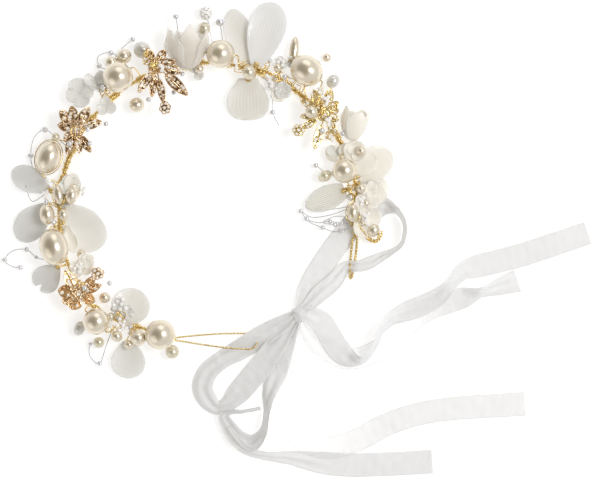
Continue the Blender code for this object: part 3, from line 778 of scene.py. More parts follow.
# loose little flowers and round petals: angle, distance, height, width, number of petals
roundPetals = {
    "mistPetal": (
        (64.1, 85.6, 7, 7.5, 4), (61, 89.1, 6.4, 6, 4), (94.9, 73.1, 4.6, 9, 2), (134, 76.4, 6.4, 10, 3),
        (130.4, 90.8, 6, 11, 2), (130.7, 87.8, 5.2, 9.5, 3), (25.5, 73.7, 4.5, 9.5, 2),
        (175.6, 75.1, 6, 8, 4), (169.3, 73, 7, 11, 4), (63.4, 74.4, 4.4, 8, 3), (231.3, 66.6, 6, 7, 4),
        (225.6, 66.9, 6.6, 7, 4), (100.5, 85.7, 5, 8, 4)),
    "creamPetal": (
        (22.7, 83.4, 6.5, 10, 3), (2.6, 80.7, 6.5, 10.5, 4), (21, 78.5, 5.6, 8, 3), (7.8, 84.5, 6.4, 9, 3),
        (203.3, 73.6, 6.4, 9, 4), (202, 69.5, 6.6, 8, 3)),
}
nearlyUp = Vector((0.1, 0.05, 1)).normalized()
for body in (rightArm, leftArm):
    for finish, spots in roundPetals.items():
        shape = bmesh.new()
        for angle, distance, height, width, count in spots:
            if bodyAt(angle) == body:
                spin = math.radians(angle * 7.0)
                petalRing(shape, station(angle, distance, height), nearlyUp, count, width * 0.54,
                          width * 0.62, 76.0, turn=spin, neck=0.4, cup=1.0)
        finishPetal(f"round_{finish}s_" + tag(body), shape, finish, body, (), 0.26)
print("petals shaped")


# leaf sprays set with stones

def addBezel(gold, stones, centre, radius, up):
    addStone(stones, centre, radius, up)
    lean = turnTo(up)
    ringRoute = [centre + lean @ Vector((math.cos(turn), math.sin(turn), -0.15)) * radius * 1.12
                 for turn in roundTurns(9)]
    addWire(gold, ringRoute, 0.18, 1, closed=True)


def addLeaf(gold, stones, plates, hub, way, length, width, roll, cluster):
    ahead = (heading(way) + Vector((0.0, 0.0, 0.10))).normalized()
    flat = Vector((0.0, 0.0, 1.0)).cross(ahead).normalized()
    side = flat * math.cos(math.radians(roll)) + ahead.cross(flat) * math.sin(math.radians(roll))
    up = ahead.cross(side)
    start = hub + ahead * length * 0.30
    bladeLength = length * 0.70 - 4.0 * cluster
    addWire(gold, [hub, start, start + ahead * bladeLength], 0.40, 2)

    def halfWidth(share):
        return width / 2.0 * math.sin(math.pi * share ** 0.85) ** 0.7

    rim = [start + ahead * bladeLength * share + side * halfWidth(share)
           for share in [step / 16.0 for step in range(17)]]
    rim += [point - 2.0 * side * (point - start).dot(side) for point in reversed(rim[1:-1])]
    addWire(gold, rim, 0.32, 1, closed=True)
    # a plate under each leaf, seen in the gaps between the stones; where it is the dark finish, its darkness
    # is partly painted shade
    plate = bmesh.new()
    face = plate.faces.new([plate.verts.new(point - up * 0.35) for point in rim])
    raised = bmesh.ops.extrude_face_region(plate, geom=[face])
    lifted = [item for item in raised["geom"] if isinstance(item, bmesh.types.BMVert)]
    bmesh.ops.translate(plate, vec=up * 0.3, verts=lifted)
    bmesh.ops.recalc_face_normals(plate, faces=plate.faces)
    joinShape(plates, plate)
    count = max(4, round(bladeLength / 1.2))
    for index in range(count):
        share = (index + 0.6) / (count + 0.3)
        for sign in (-1.0, 1.0):
            slip = side * random.uniform(-0.22, 0.22) + ahead * random.uniform(-0.3, 0.3)
            centre = start + ahead * bladeLength * share + side * sign * halfWidth(share) * 0.46
            centre += up * 0.4 + slip
            radius = max(0.5, min(0.95, halfWidth(share) * 0.46)) * random.uniform(0.7, 1.05)
            tilt = (up + side * random.uniform(-0.5, 0.5) + ahead * random.uniform(-0.5, 0.5)).normalized()
            pick = random.random() + (0.33 if width > 5.8 else 0.0)     # broad leaves are barer
            if pick < 0.45:
                addBezel(gold, stones, centre, radius, tilt)
            elif pick < 0.80:
                addBead(gold, centre, (radius * 1.5, radius * 1.5, radius * 1.5), fineness=(8, 5))
    if cluster:
        middle = start + ahead * (bladeLength + 2.0)
        addBezel(gold, stones, middle + up * 0.6, 0.9, up)
        for index in range(6):
            turn = math.tau * index / 6.0
            outwards = side * math.cos(turn) + ahead * math.sin(turn)
            addBezel(gold, stones, middle + outwards * 2.5 + up * 0.3, 0.95,
                     (up + outwards * 0.5).normalized())
            addBead(gold, middle + outwards * 3.0, (1.1, 1.1, 1.1), fineness=(8, 5))
        addBead(plates, middle - up * 0.4, (6.0, 6.0, 0.8), up, (14, 6))


# heading, length, width and roll of each leaf, and 1 where it ends in a round cluster
leafSprays = {
    1: {"at": (109.3, 80.4, 13.5), "gold": "roseGold", "plates": "gapShadeBronze", "leaves": (
        (10, 10.5, 4.2, 35, 0), (-44, 23, 5.6, 5, 0), (-78, 25, 3.8, 20, 1), (-97, 17, 4, -35, 0),
        (-122, 17, 4.4, -30, 0), (119, 10, 4.2, 30, 0), (-18, 13.5, 4.6, 25, 0), (58, 9, 4.2, 15, 0))},
    2: {"at": (147.8, 80.6, 10.5), "gold": "roseGold", "plates": "gapShadeBronze", "leaves": (
        (131, 12.5, 5.4, 20, 0), (100, 12, 5.4, -20, 0), (58, 13, 5.4, 30, 0), (16, 14, 5, -20, 0),
        (167, 9.5, 5, 10, 0), (-135, 8.5, 4.4, 20, 0), (-109, 14, 4.4, 10, 0), (-80, 13, 4.2, -30, 0),
        (-57, 14.5, 4.6, 25, 0))},
    3: {"at": (212.4, 79.5, 9.5), "gold": "roseGold", "plates": "copper", "leaves": (
        (118, 14, 5.6, 20, 0), (46, 17, 4, 15, 1), (22, 13, 4.6, -25, 0), (168, 10.5, 7, 10, 0),
        (-112, 8.5, 7.4, -10, 0), (-24, 9.5, 6.4, 20, 0), (-150, 9, 6, 0, 0))},
    4: {"at": (39.7, 79, 9.5), "gold": "paleGold", "plates": "paleGold", "leaves": (
        (-149, 18, 3.8, 10, 1), (-107, 19, 4.6, -10, 0), (-175, 13, 4.2, 30, 0), (149, 15, 4.4, -30, 0),
        (20, 7.5, 3.8, 20, 0), (78, 14, 5, 20, 0), (-22, 7.5, 4.2, 15, 0), (45, 9.5, 4.2, -15, 0),
        (-62, 12, 4.4, 25, 0), (115, 14, 4, -20, 0))},
}
hubUp = Vector((0, 0.1, 1)).normalized()
for number, spray in leafSprays.items():
    hub = station(*spray["at"])
    gold, stones, plates = bmesh.new(), bmesh.new(), bmesh.new()
    for leaf in spray["leaves"]:
        addLeaf(gold, stones, plates, hub, *leaf)
    for index in range(7):
        turn = math.tau * index / 6.0
        middle = index == 6
        out = Vector((math.cos(turn), math.sin(turn), 0.1)) * (0.0 if middle else 1.7)
        spot = hub + out + Vector((0.0, 0.0, 1.5 if middle else 0.9))
        addBezel(gold, stones, spot, 1.2 if middle else 0.8, hubUp)
    addBead(gold, hub, (5.0, 5.0, 2.6))
    for loop in range(6):
        strayWire(gold, hub, 6, 4.2, (0.2, 1.6), 0.32)
    foot = station(spray["at"][0], spray["at"][1], 3.9)
    twistedPair(gold, [foot, foot.lerp(hub, 0.5), hub], 0.4, 2.4, 8, 0.36)
    finishPiece(f"gold_leaves_{number}", gold, spray["gold"], f"spray_{number}", (f"leaf_spray_{number}",))
    finishPiece(f"leaf_plates_{number}", plates, spray["plates"], f"spray_{number}", (), smooth=False)
    finishPiece(f"leaf_stones_{number}", stones, "crystal", f"spray_{number}", (), smooth=False)
print("leaf sprays set")


def holder(angle, distance, height, reach=19.0, above=8.6):
    for number, spray in leafSprays.items():
        if height > above and (station(angle, distance) - station(*spray["at"][:2])).length < reach:
            return f"spray_{number}"
    return bodyAt(angle)


def byHolder(spots):
    groups = {}
    for spot in spots:
        groups.setdefault(holder(*spot[:3]), []).append(spot)
    return groups.items()


# bright wire balls on the stalks: angle, distance, height, width
wireBalls = ((110.1, 80.3, 16.6, 3.4), (111.0, 86.9, 16.4, 3.0), (44.7, 80.5, 13.0, 3.2),
             (41.3, 78.9, 12.0, 2.8))
for body, spots in byHolder(wireBalls):
    shape = bmesh.new()
    for angle, distance, height, width in spots:
        centre = station(angle, distance, height)
        addBead(shape, centre, (width * 0.8, width * 0.8, width * 0.8), fineness=(10, 7))
        for index in range(4):
            tilt = Matrix.Rotation(index * 0.8, 3, "Z") @ Matrix.Rotation(1.0, 3, "X")
            loop = [centre + tilt @ Vector((math.cos(turn), math.sin(turn), 0.0)) * width / 2.0
                    for turn in roundTurns(16)]
            addWire(shape, loop, 0.26, 1, closed=True)
    finishPiece("wire_balls_" + tag(body), shape, "gold", body)


# bead sprays, crystals and small pearls

# angle, distance and height of each point on the thread, and the width of its bead, if any
beadSprays = {
    "bead_spray_top_left": (
        (119.5, 80.3, 2, 0), (119.5, 90, 1.8, 0), (121.5, 97.6, 2, 1.6), (125.2, 99.6, 2, 0),
        (126.8, 95.3, 2, 1.6), (124.5, 91.5, 2, 0), (119, 96, 2, 0), (113.6, 98.5, 2.2, 1.5)),
    "bead_spray_left": (
        (155.3, 80.4, 2.4, 0), (154, 88, 2.2, 0), (153.2, 95.6, 2, 1.8), (157, 99, 1.9, 0),
        (162.4, 97.4, 1.9, 1.8), (166, 94.5, 1.9, 0)),
    "bead_spray_lower_left": (
        (198.7, 80.3, 2.2, 0), (196.5, 88, 2, 0), (194.7, 92.9, 2, 1.2), (191.6, 97, 2, 1.5),
        (191.2, 104, 2, 0), (193.2, 109.3, 1.8, 1.5), (195.4, 106.5, 1.8, 0), (196.4, 102.4, 1.8, 1.5)),
    "bead_spray_bottom": (
        (231, 80.2, 2.4, 0), (232.6, 88, 2, 0), (234.3, 97.3, 1.9, 1.5), (230.6, 97.4, 1.9, 0),
        (228.2, 92.5, 1.9, 1.2), (230, 88.5, 2, 0)),
    "bead_spray_inner_top": (
        (68.4, 75.6, 2.6, 0), (65.2, 74.6, 3, 1.5), (60.9, 69.1, 3, 1.5), (57.2, 61.9, 3, 1.5),
        (50.8, 58.4, 2.4, 0)),
    "bead_spray_inner_right": (
        (-4.6, 73.4, 4, 0), (-4.8, 69.8, 4, 1.3), (-4.4, 63.6, 3.6, 1.4), (-5.5, 57.2, 3.2, 0),
        (-3.9, 51.4, 2.6, 1.5), (0.7, 48.3, 2.4, 1.5)),
    "inner_thread_upper": ((2.2, 73, 5, 0), (1.3, 64.3, 4, 0), (1.5, 56.1, 3.4, 1.4), (6.6, 50.8, 3, 0)),
    "inner_thread_middle": ((1.2, 72.6, 5.4, 0), (-1.6, 62.6, 5, 0), (-2.8, 54, 4, 0), (0.7, 48.3, 3.2, 0)),
    "inner_thread_lower": (
        (-6.3, 73.6, 3, 0), (-7.8, 70.6, 2.8, 1.3), (-8.8, 65.5, 2.6, 0), (-7.7, 60.1, 2.4, 1.4),
        (-6.2, 54.2, 2.2, 0), (-3.9, 51.4, 2, 0)),
    "inner_thread_end": (
        (-1.9, 73.2, 6, 0), (-2.1, 65.7, 5.6, 0), (-5.2, 60.2, 4.8, 0), (-5.7, 66.2, 5, 1.4)),
    "looped_thread_left": (
        (170, 80, 3, 0), (167.5, 90, 3, 0), (172, 95.2, 3.2, 1.4), (176.5, 92, 3.4, 0), (174, 86, 4, 0)),
    "short_bead_stem_top": ((101.5, 84, 3, 0), (99.6, 93, 6, 0), (99.3, 102.8, 8, 1.6)),
    "short_bead_stem_inner": ((15.6, 74, 3, 0), (17.5, 66, 3.5, 0), (23.5, 61.2, 3, 1.5)),
    "upper_bead_stem": ((84, 82, 5, 0), (85.5, 92, 5, 0), (86.4, 99, 5, 2.4)),
}
for name, points in beadSprays.items():
    known = (name,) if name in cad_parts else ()
    stops = [(*station(angle, distance, height), 0.0) for angle, distance, height, bead in points]
    thread, beads = bmesh.new(), bmesh.new()
    line = smoothRoute(stops, 6)
    addWire(thread, line, 0.22, 1)
    for index, (angle, distance, height, bead) in enumerate(points):
        if bead:
            ahead = (line[min(index * 6 + 1, len(line) - 1)] - line[max(index * 6 - 1, 0)]).xyz.normalized()
            addBead(beads, line[index * 6].xyz, (bead * 2.0, bead * 2.0, bead * 1.8), ahead, (20, 12))
    finishPiece(name + "_thread", thread, "thread", bodyAt(points[0][0]))
    if beads.verts:
        finishPiece(name + "_beads", beads, "seed", bodyAt(points[0][0]), known)

# angle, distance, height and width of each, then its length and heading where it is long
smallPearls = {
    "pearl": (
        (123.7, 67, 5, 8), (171.2, 70.6, 6.2, 7.4, 9.4, 80), (241.2, 74.6, 9.6, 8.4), (118.3, 92, 6.4, 8),
        (122.9, 92.4, 7.6, 7), (73.6, 75.4, 8.8, 7.4), (43.8, 74.6, 12, 7.2), (52.5, 101.6, 2.6, 4.7),
        (62, 95.4, 4.8, 5.4, 14.6, 84), (173.5, 78, 8.6, 5.4, 11, 100), (181.2, 75, 8.4, 5, 7, 90),
        (180.9, 83.4, 9, 8, 11, 95), (198.3, 69.6, 4, 5), (233.8, 80, 8, 6), (219.6, 69.8, 5.6, 6),
        (8.7, 80.5, 8.2, 5), (3.3, 82.3, 7.2, 3.6), (21.7, 85.6, 9.4, 5.2), (-6.3, 86.6, 5.4, 6.5, 7.6, 60),
        (-0.3, 75.4, 6.4, 6.4, 10.2, 88), (-4, 80.4, 5.4, 4.4), (239.2, 80.2, 7, 5), (227, 74.4, 5.6, 4.6),
        (173.3, 71.2, 9, 6.4, 9, 80), (72.1, 74.3, 8, 4.4), (93.4, 74.4, 8, 4.6), (64.2, 83.2, 7.8, 4.4)),
    "greyPearl": (
        (112.2, 91.2, 5, 9), (46.3, 94.2, 4.4, 6.5, 8, 50), (222.1, 90.4, 4.2, 6, 8, 70), (6, 74.5, 5, 4)),
    "olivePearl": (
        (91.2, 95.7, 4.6, 6.6), (255.6, 75.2, 4, 7.4), (230, 88.6, 5, 6), (17.1, 63.7, 8, 6),
        (17.1, 63.7, 5, 6, 8, 30), (153.7, 88.1, 8, 4.4)),
}
smallGroups = {}
for finish, spots in smallPearls.items():
    for angle, distance, height, width, *long in spots:
        length, way = long or (width, 0)
        shape = smallGroups.setdefault((holder(angle, distance, height, above=11.5), finish), bmesh.new())
        lie = heading(way) if way else Vector((0.0, 0.0, 1.0))
        addBead(shape, station(angle, distance, height), (width, width, length), lie, (28, 18))
stemPearls = {rightArm: ("stem_pearl_top", "stem_pearl_inner"),
              leftArm: ("stem_pearl_left", "stem_pearl_bottom")}
for (body, finish), shape in smallGroups.items():
    finishPiece(f"small_{finish}_{tag(body)}", shape, finish, body,
                stemPearls.get(body, ()) if finish == "pearl" else ())

# white seed beads among the leaf tips: angle, distance, height
seedBeads = (
    (139.2, 70.1, 6), (145.4, 75.1, 13), (153.6, 79.5, 13), (149.8, 70.4, 12), (117.8, 65.8, 9),
    (105.9, 64.4, 9), (215.9, 62.9, 9), (211.9, 74.7, 12.4), (100.6, 73, 6), (68, 85.2, 5), (60.4, 81, 6.4),
    (130, 84, 12), (236, 72.4, 6), (225.6, 70.8, 6), (183.8, 80.2, 9.6), (176.4, 83.8, 10), (35.4, 72.8, 12),
    (30.2, 80.8, 8.4))
for body, spots in byHolder(seedBeads):
    shape = bmesh.new()
    for angle, distance, height in spots:
        addBead(shape, station(angle, distance, height), (2.9, 2.9, 2.6), heading(angle * 5.0), (16, 10))
    finishPiece("loose_seed_beads_" + tag(body), shape, "seed", body)

crystalBall = {"at": (90.6, 103.6, 4.4), "radius": 3.4, "stone": 1.0}
shape = bmesh.new()
ballCentre = station(*crystalBall["at"])
for row in range(7):
    tilt = math.pi * (row + 0.5) / 7.0
    count = max(1, round(math.tau * math.sin(tilt) * crystalBall["radius"] / (crystalBall["stone"] * 2.05)))
    for index in range(count):
        turn = math.tau * (index + 0.5 * (row % 2)) / count
        way = Vector((math.sin(tilt) * math.cos(turn), math.sin(tilt) * math.sin(turn), math.cos(tilt)))
        addStone(shape, ballCentre + way * crystalBall["radius"], crystalBall["stone"], way)
finishPiece("crystal_ball", shape, "crystal", rightArm, ("crystal_stem",), smooth=False)
shape = bmesh.new()
addBead(shape, ballCentre, (5.6, 5.6, 5.6))
addWire(shape, [station(87.6, 79.8, 2.2), station(88.6, 88.0, 2.6), station(89.4, 95.0, 3.6), ballCentre],
        0.35, 1)
finishPiece("crystal_ball_core", shape, "seed", rightArm)

# angle, distance, height, spread and number of stones of each cluster
crystalClusters = (
    (226.3, 66.2, 8, 3.8, 6), (232.7, 73.8, 7.4, 3.4, 8), (47, 86.1, 8, 2, 4), (43.2, 84.2, 13, 2, 4),
    (36.9, 78, 12, 1.8, 4), (30.8, 75.1, 8, 1.6, 3), (107.5, 78, 16.5, 1.6, 3), (104.2, 80.5, 14, 1.2, 2),
    (170.5, 65.9, 8, 2, 4), (174, 85.2, 6.4, 2, 4), (168.9, 83.7, 12, 1, 2), (203.5, 73.1, 8.4, 2.6, 5),
    (201, 66.8, 6, 1.6, 3), (63.7, 87, 8, 2.4, 5), (64, 74.7, 6.6, 1.6, 3), (66, 76.8, 6, 1.2, 2),
    (72.2, 74.8, 8, 1, 2), (4.1, 79.8, 8.4, 2, 4), (-1.8, 82.2, 8, 2.2, 4), (79.3, 78.3, 7, 1.6, 3),
    (236.2, 73.8, 6, 2, 4), (228.6, 77, 6, 1.6, 3), (188.5, 80.5, 10, 1.4, 3))
for body, spots in byHolder(crystalClusters):
    shape = bmesh.new()
    for angle, distance, height, spread, count in spots:
        for index in range(count):
            turn = index * 2.4
            reach = spread * math.sqrt((index + 0.5) / count)
            spot = station(angle, distance, height) + Vector((math.cos(turn), math.sin(turn), 0.3)) * reach
            way = Vector((0.5 * math.cos(turn * 1.7), 0.5 * math.sin(turn * 1.7), 1.0)).normalized()
            addStone(shape, spot, 1.15, way)
    finishPiece("crystals_" + tag(body), shape, "crystal", body, (), smooth=False)
print("beads and crystals threaded")


# thin gold wires: petal ties, rims round long pearls, and loose ends

# wires round the long pearls: angle, distance, height, width, length, heading
rims = ((173.5, 78.0, 8.6, 6.6, 12.2, 100), (-0.3, 75.4, 6.4, 7.6, 11.4, 88),
        (161.1, 87.6, 6.6, 14.2, 18.8, 71))
for body in (rightArm, leftArm):
    shape = bmesh.new()
    for where, *rest in petals.values():
        angle, distance, way, height = *where[:3], where[5]
        if bodyAt(angle) == body:
            base = station(angle, distance, height)
            root = station(angle, ring["radius"], ring["height"] + 1.3)
            neck = base + heading(way) * 1.8
            for phase in (0.0, 2.1, 4.2):
                swing = Vector((math.cos(phase), math.sin(phase), 0.3)) * 0.7
                addWire(shape, [root + swing * 1.6, base + swing, neck + swing * 0.5], 0.24, 1)
            tie = twistRound([base - heading(way) * 0.8, base, neck], 1.25, 0.62, angle, 10)
            addWire(shape, tie, 0.22, 1)
    for angle, distance, height, width, length, way in rims:
        if bodyAt(angle) == body:
            centre = station(angle, distance, height)
            along, across = heading(way), heading(way + 90.0)
            loop = [centre + along * length / 2.0 * math.cos(turn) + across * width / 2.0 * math.sin(turn)
                    + Vector((0.0, 0.0, 0.4 * math.sin(2.0 * turn)))
                    for turn in roundTurns(28)]
            addWire(shape, loop, 0.26, 1, closed=True)
    finishPiece("petal_ties_" + tag(body), shape, "gold", body)
print("ties wound")


# tangled ends of the fine wire: angle, distance, height, spread
tangles = (
    (77.3, 77.8, 7, 3.5), (69.3, 79.5, 6.5, 4), (63.6, 79.5, 6, 4), (57.8, 79.9, 5, 3.6),
    (52.7, 79.8, 8, 3.6), (45.8, 80.5, 13, 3.4), (42.3, 77.3, 12.5, 4), (32.3, 75, 5, 3), (8.7, 75.2, 7, 2.4),
    (183.9, 77.1, 9, 3.4), (171.2, 74.7, 8, 3.4), (188, 81.9, 11, 3), (211, 78.8, 10, 3.4),
    (230, 71.2, 8, 3.6), (237.8, 73.1, 9, 3.6), (83.5, 78.5, 6, 3.2), (110.9, 84.6, 15.5, 3.2),
    (109.1, 79.3, 15, 3), (130.6, 81.5, 7, 3.2), (98.5, 77.8, 6, 3.2), (149.3, 80.4, 12, 3.6),
    (177.3, 76, 9, 3), (209.8, 74.3, 11, 3), (230.3, 79, 6, 3))
hooks = (((28.9, 9.4, 4), (30, 6.8, 4.6), (33, 3.7, 5), (37.4, 0.4, 4.6), (41.3, -0.8, 4.4), (43.9, 1.8, 4.6),
          (44.3, 5, 6)),
         ((29.6, 9.8, 6), (31.5, 8.5, 6), (34.8, 4.6, 6), (38, 1.3, 5.6), (41.7, 0.1, 5.2), (43, 3.7, 7)),
         ((26.6, 28.9, 5), (27.6, 26.2, 6), (29.6, 22, 6.4), (31.6, 18.2, 6.2), (32, 13.8, 5.4),
          (30.4, 9.4, 5), (30.2, 4.9, 4.6)),
         ((25.4, 27.4, 5), (28.8, 24.6, 6), (32.6, 19.6, 6.2), (30.4, 15, 5.6), (28.2, 11, 5.2),
          (29.2, 7, 5)))
for body, spots in byHolder(tangles):
    shape = bmesh.new()
    for angle, distance, height, spread in spots:
        centre = station(angle, distance, height)
        for loop in range(3):
            strayWire(shape, centre, 5, spread, (-0.6 * spread, 0.2 * spread), 0.24)
    for hook in hooks if body == rightArm else ():
        twistedPair(shape, smoothRoute(hook, 6), 0.34, 3.2, 10, 0.32)
    finishPiece("tangled_wire_" + tag(body), shape, "gold", body)
print("wire ends tangled")


# the ribbons

knot = {"at": (1.2, -38.6, 4.2), "size": (8.6, 8.4, 7.2)}
flatWidth, clothThickness = 12.0, 0.14
# each point: place, shown width, and how much of its narrowing, if any, comes from standing on edge
ribbons = {
    "right_bow_loop": {"turn": 0, "points": (
        (1.2, -37, 4.2, 5), (3.6, -32.4, 2.8, 9), (7.2, -24, 1.6, 12), (14.8, -11.2, 0.6, 12.3),
        (26.3, 4.4, 0.3, 12.3), (36.4, 14.4, 0.3, 12), (45.4, 17.8, 0.6, 10.6), (51.8, 15.6, 1, 3.6, 1),
        (55.6, 10.6, 1, 1.7, 1), (56.4, 4.6, 1, 1.5, 1), (55, -1.2, 1, 1.7, 1), (51, -5.2, 1.2, 2.4, 1),
        (45.4, -8.2, 2, 4.2, 0.8), (38.5, -11.6, 3.6, 6.4, 0.2), (33.5, -13.3, 4.1, 6), (30.7, -13.5, 3.6, 6),
        (28.95, -13.5, 2.5, 6), (27.2, -13.5, 1.4, 6), (24.2, -15.2, 1.1, 7), (19.4, -21.6, 1.6, 9),
        (12.4, -27.6, 2.6, 9), (7.1, -33, 3.6, 7), (1.6, -37.4, 4.2, 4))},
    "left_bow_loop": {"turn": 1, "points": (
        (0.2, -38.2, 4.6, 5), (-6.8, -42.6, 4.8, 8), (-13.8, -47.2, 4.6, 10.6), (-20.7, -51.6, 4.2, 11.6),
        (-29.4, -57, 3, 11), (-38.6, -62.2, 1.4, 9.6), (-46.2, -68.6, 1, 10.4), (-49.2, -76.4, 0.8, 10.8),
        (-46.4, -83.2, 0.8, 10), (-41.6, -87.4, 1, 7.4), (-36.6, -85.8, 1.4, 8), (-31, -80.2, 1.8, 11.6),
        (-24.2, -72.4, 2.6, 12.4), (-16.6, -62.8, 3.4, 12), (-10, -53.4, 4, 10.4), (-4.6, -45.4, 4.3, 7.4),
        (0.4, -39, 4.6, 4))},
    "centre_bow_loop": {"turn": 2, "points": (
        (0.6, -39.6, 4.2, 4), (-3.2, -45.4, 2.9, 9), (-7, -54.3, 2.2, 12.3), (-10.8, -68.4, 1.8, 12),
        (-14.2, -80, 1.4, 7, 0.8), (-15.6, -90.4, 1, 3.4, 1), (-17.4, -99.8, 1, 4.4, 1),
        (-23.4, -105.8, 1, 8.6, 0.7), (-30.6, -103.4, 1, 9, 0.5), (-36.2, -96.4, 1, 7.4, 0.3),
        (-38.6, -91, 0.9, 5, 0.5), (-34.6, -88.4, 0.9, 3.2, 0.9), (-27, -88.6, 0.9, 2.8, 1),
        (-19, -87, 0.9, 2.8, 1))},
    "ribbon_tail_upper": {"turn": 3, "points": (
        (1.6, -38.6, 4.6, 4), (6.5, -38.8, 3.8, 9), (12.2, -42, 2.6, 12), (17, -48.8, 1.8, 12.6),
        (21, -55.6, 1.4, 12.6), (26.4, -60.8, 1, 10.6), (32.4, -62.6, 0.8, 5.4, 0.9),
        (37.4, -60.2, 0.8, 2.8, 1), (40.8, -54, 0.8, 3.4, 1), (44.2, -45.8, 1, 4.4, 1),
        (49.8, -40, 1.2, 7.4, 0.6), (58, -36.8, 1.2, 10.4), (66.4, -33.6, 1.2, 10.8),
        (75, -28.6, 1.2, 9.4, 0.2), (80.4, -22, 1, 6.8, 0.7), (86, -16.4, 0.8, 9, 0.4),
        (94.4, -13.6, 0.4, 12), (116.2, -8.1, 0.2, 12.3), (137, -1.3, 0.2, 12.3), (152.4, 3.9, 0.2, 12))},
    "ribbon_tail_middle": {"turn": 4, "points": (
        (1.4, -40.2, 3.6, 4), (5, -46.8, 2, 7), (11.8, -54.6, 0.9, 10), (24.6, -61.6, 0.3, 11),
        (36.7, -60.1, 0.2, 11), (48.6, -53.3, 0.2, 12), (58, -43.9, 0.2, 12), (66.8, -37.1, 0.2, 12),
        (75.6, -33.5, 0.2, 12), (87.6, -29.8, 0.2, 11), (96.4, -26.9, 0.2, 5.6, 0.9),
        (105.8, -24.2, 0.2, 9, 0.4), (115.7, -21, 0.2, 12))},
    "ribbon_tail_left": {"turn": 5, "points": (
        (-36.5, -98, 0.2, 5, 0.6), (-27.6, -108.2, 0.2, 5, 0.8), (-16.4, -111.6, 0.2, 5, 0.8),
        (-3.4, -113, 0.2, 7.4, 0.4), (12.2, -116, 0.2, 11.4), (27.8, -117.4, 0.2, 12.3),
        (51.2, -116.8, 0.2, 12.3), (71, -115.6, 0.2, 12.3))},
    "ribbon_tail_lower": {"turn": 6, "points": (
        (0.8, -40.4, 3.4, 4), (-1.2, -46.4, 1.6, 6), (-5, -56.9, 1, 9), (-6.6, -75.1, 0.8, 9),
        (-5.4, -90.7, 0.8, 9), (-0.2, -101.4, 0.8, 11), (9.6, -107.3, 0.8, 12), (22.6, -107.5, 0.8, 12),
        (34.6, -103, 0.6, 12), (46, -96.9, 0.2, 12), (61.6, -91.3, 0.2, 12), (79.8, -88.1, 0.2, 12),
        (100.6, -86.6, 0.2, 12.3), (119.3, -85.5, 0.2, 12.3))},
}


# the left loop crosses its eye over the near strand and under the far one
eyePass = {"within": 46.0, "line": -51.3, "root": -62.3, "slope": 0.036, "half": 3.4,
           "from": -13.0, "over": 6.0, "low": 0.7, "high": 4.2}
pleats = {"count": 2.0, "deepest": 1.2, "share": 0.6}


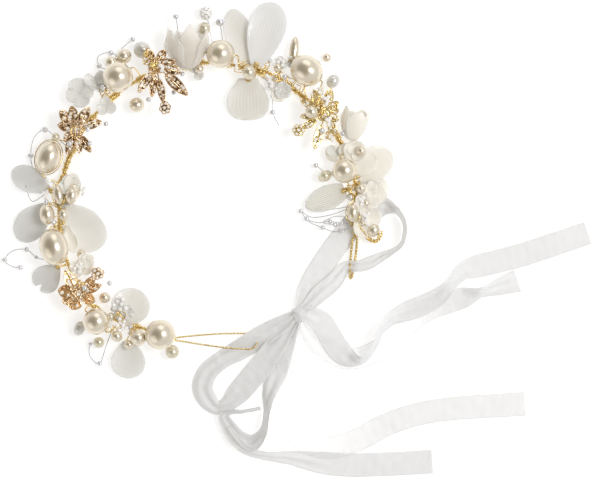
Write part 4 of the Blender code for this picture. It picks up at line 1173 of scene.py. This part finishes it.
def ribbonShape(points, turn, throughEye, cells=20):
    route, length = evenRoute(smoothRoute([(*point, 0.0)[:5] for point in points], 8), 0.9)
    last = len(route) - 1
    part = sheetGrid(last, cells)
    uvLayer = part.loops.layers.uv.active
    for face in part.faces:
        for loop in face.loops:
            loop[uvLayer].uv.x = (loop.vert.co.x + 1.0) / 2.0 * length / flatWidth
            loop[uvLayer].uv.y = (loop.vert.co.y + 1.0) / 2.0
    for vertex in part.verts:
        index = round((vertex.co.x + 1.0) / 2.0 * last)
        across = vertex.co.y
        here = route[index]
        ahead = route[min(index + 1, last)] - route[max(index - 1, 0)]
        side = Vector((-ahead[1], ahead[0], 0.0)).normalized()
        widest = flatWidth * 1.03
        shown = min(here[3], widest)
        lean = math.acos(min(1.0, shown / flatWidth)) * max(0.0, min(1.0, here[4]))
        width = min(widest, shown / math.cos(lean))
        reach = length * index / last
        slope = math.sqrt(2.0 * max(0.0, (flatWidth / width) ** 2 - 1.0))
        depth = min(pleats["deepest"], slope * width / (math.tau * pleats["count"]) * pleats["share"])
        pleat = depth * (1.0 + math.sin(across * math.pi * pleats["count"] + turn + 0.05 * reach))
        crease = 0.22 * math.sin(reach * 0.33 + across * 1.5 + turn * 2.1) * math.sin(reach * 0.071 + turn)
        crease += 0.10 * math.sin(reach * 0.9 - across * 2.6 + turn)
        stand = pleat + abs(crease)
        lift = (Vector((0.0, 0.0, math.cos(lean))) - side * math.sin(lean)) * stand
        lift.z += width / 2.0 * math.sin(lean) * (1.0 + across)
        vertex.co = here.xyz + side * width / 2.0 * across * math.cos(lean) + lift
        if throughEye and reach < eyePass["within"]:
            spot = vertex.co
            fromLine = spot.y - eyePass["line"] + eyePass["slope"] * (spot.x - eyePass["root"])
            step = ease((fromLine + eyePass["half"]) / (2.0 * eyePass["half"]))
            near = max(0.0, min(1.0, (eyePass["from"] - spot.x) / eyePass["over"]))
            level = eyePass["low"] + (eyePass["high"] - eyePass["low"]) * step
            spot.z += (level + stand - spot.z) * near
    return part, length


clothFinish = {"ribbon_tail_lower": "washedOutRibbon", "ribbon_tail_middle": "fadedRibbon",
               "left_bow_loop": "loopRibbon", "centre_bow_loop": "loopRibbon"}
for name, ribbon in ribbons.items():
    crossing = name == "left_bow_loop"
    shape, length = ribbonShape(ribbon["points"], ribbon["turn"], crossing)
    piece = finishPiece("satin_" + name, shape, clothFinish.get(name, "ribbon"),
                        None if crossing else rightArm, (name,))
    addWall(piece, clothThickness)
    if crossing:
        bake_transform(piece)
    length * mm

# the knot: gathered cloth wrapped round the crossing
shape = bmesh.new()
shape.loops.layers.uv.new("UVMap")
bmesh.ops.create_uvsphere(shape, u_segments=72, v_segments=40, radius=0.5, calc_uvs=True)
for vertex in shape.verts:
    spot = vertex.co * 2.0
    fold = math.sin(7.0 * spot.x + 2.4 * spot.y * spot.y + 1.1) * 0.045
    fold += math.sin(15.0 * spot.x - 2.0 * spot.y) * 0.018
    pinch = 1.0 - 0.16 * math.exp(-(spot.y / 0.35) ** 2)
    vertex.co = Vector((vertex.co.x * pinch, vertex.co.y, vertex.co.z)) * (1.0 + fold)
bmesh.ops.scale(shape, vec=knot["size"], verts=shape.verts)
lean = Matrix.Translation(Vector(knot["at"])) @ Matrix.Rotation(math.radians(38.0), 4, "Z")
bmesh.ops.transform(shape, matrix=lean, verts=shape.verts)
knotPiece = finishPiece("gathered_bow_knot", shape, "knotRibbon", rightArm, ("bow_knot",))
print("ribbons laid")


bpy.context.view_layer.update()
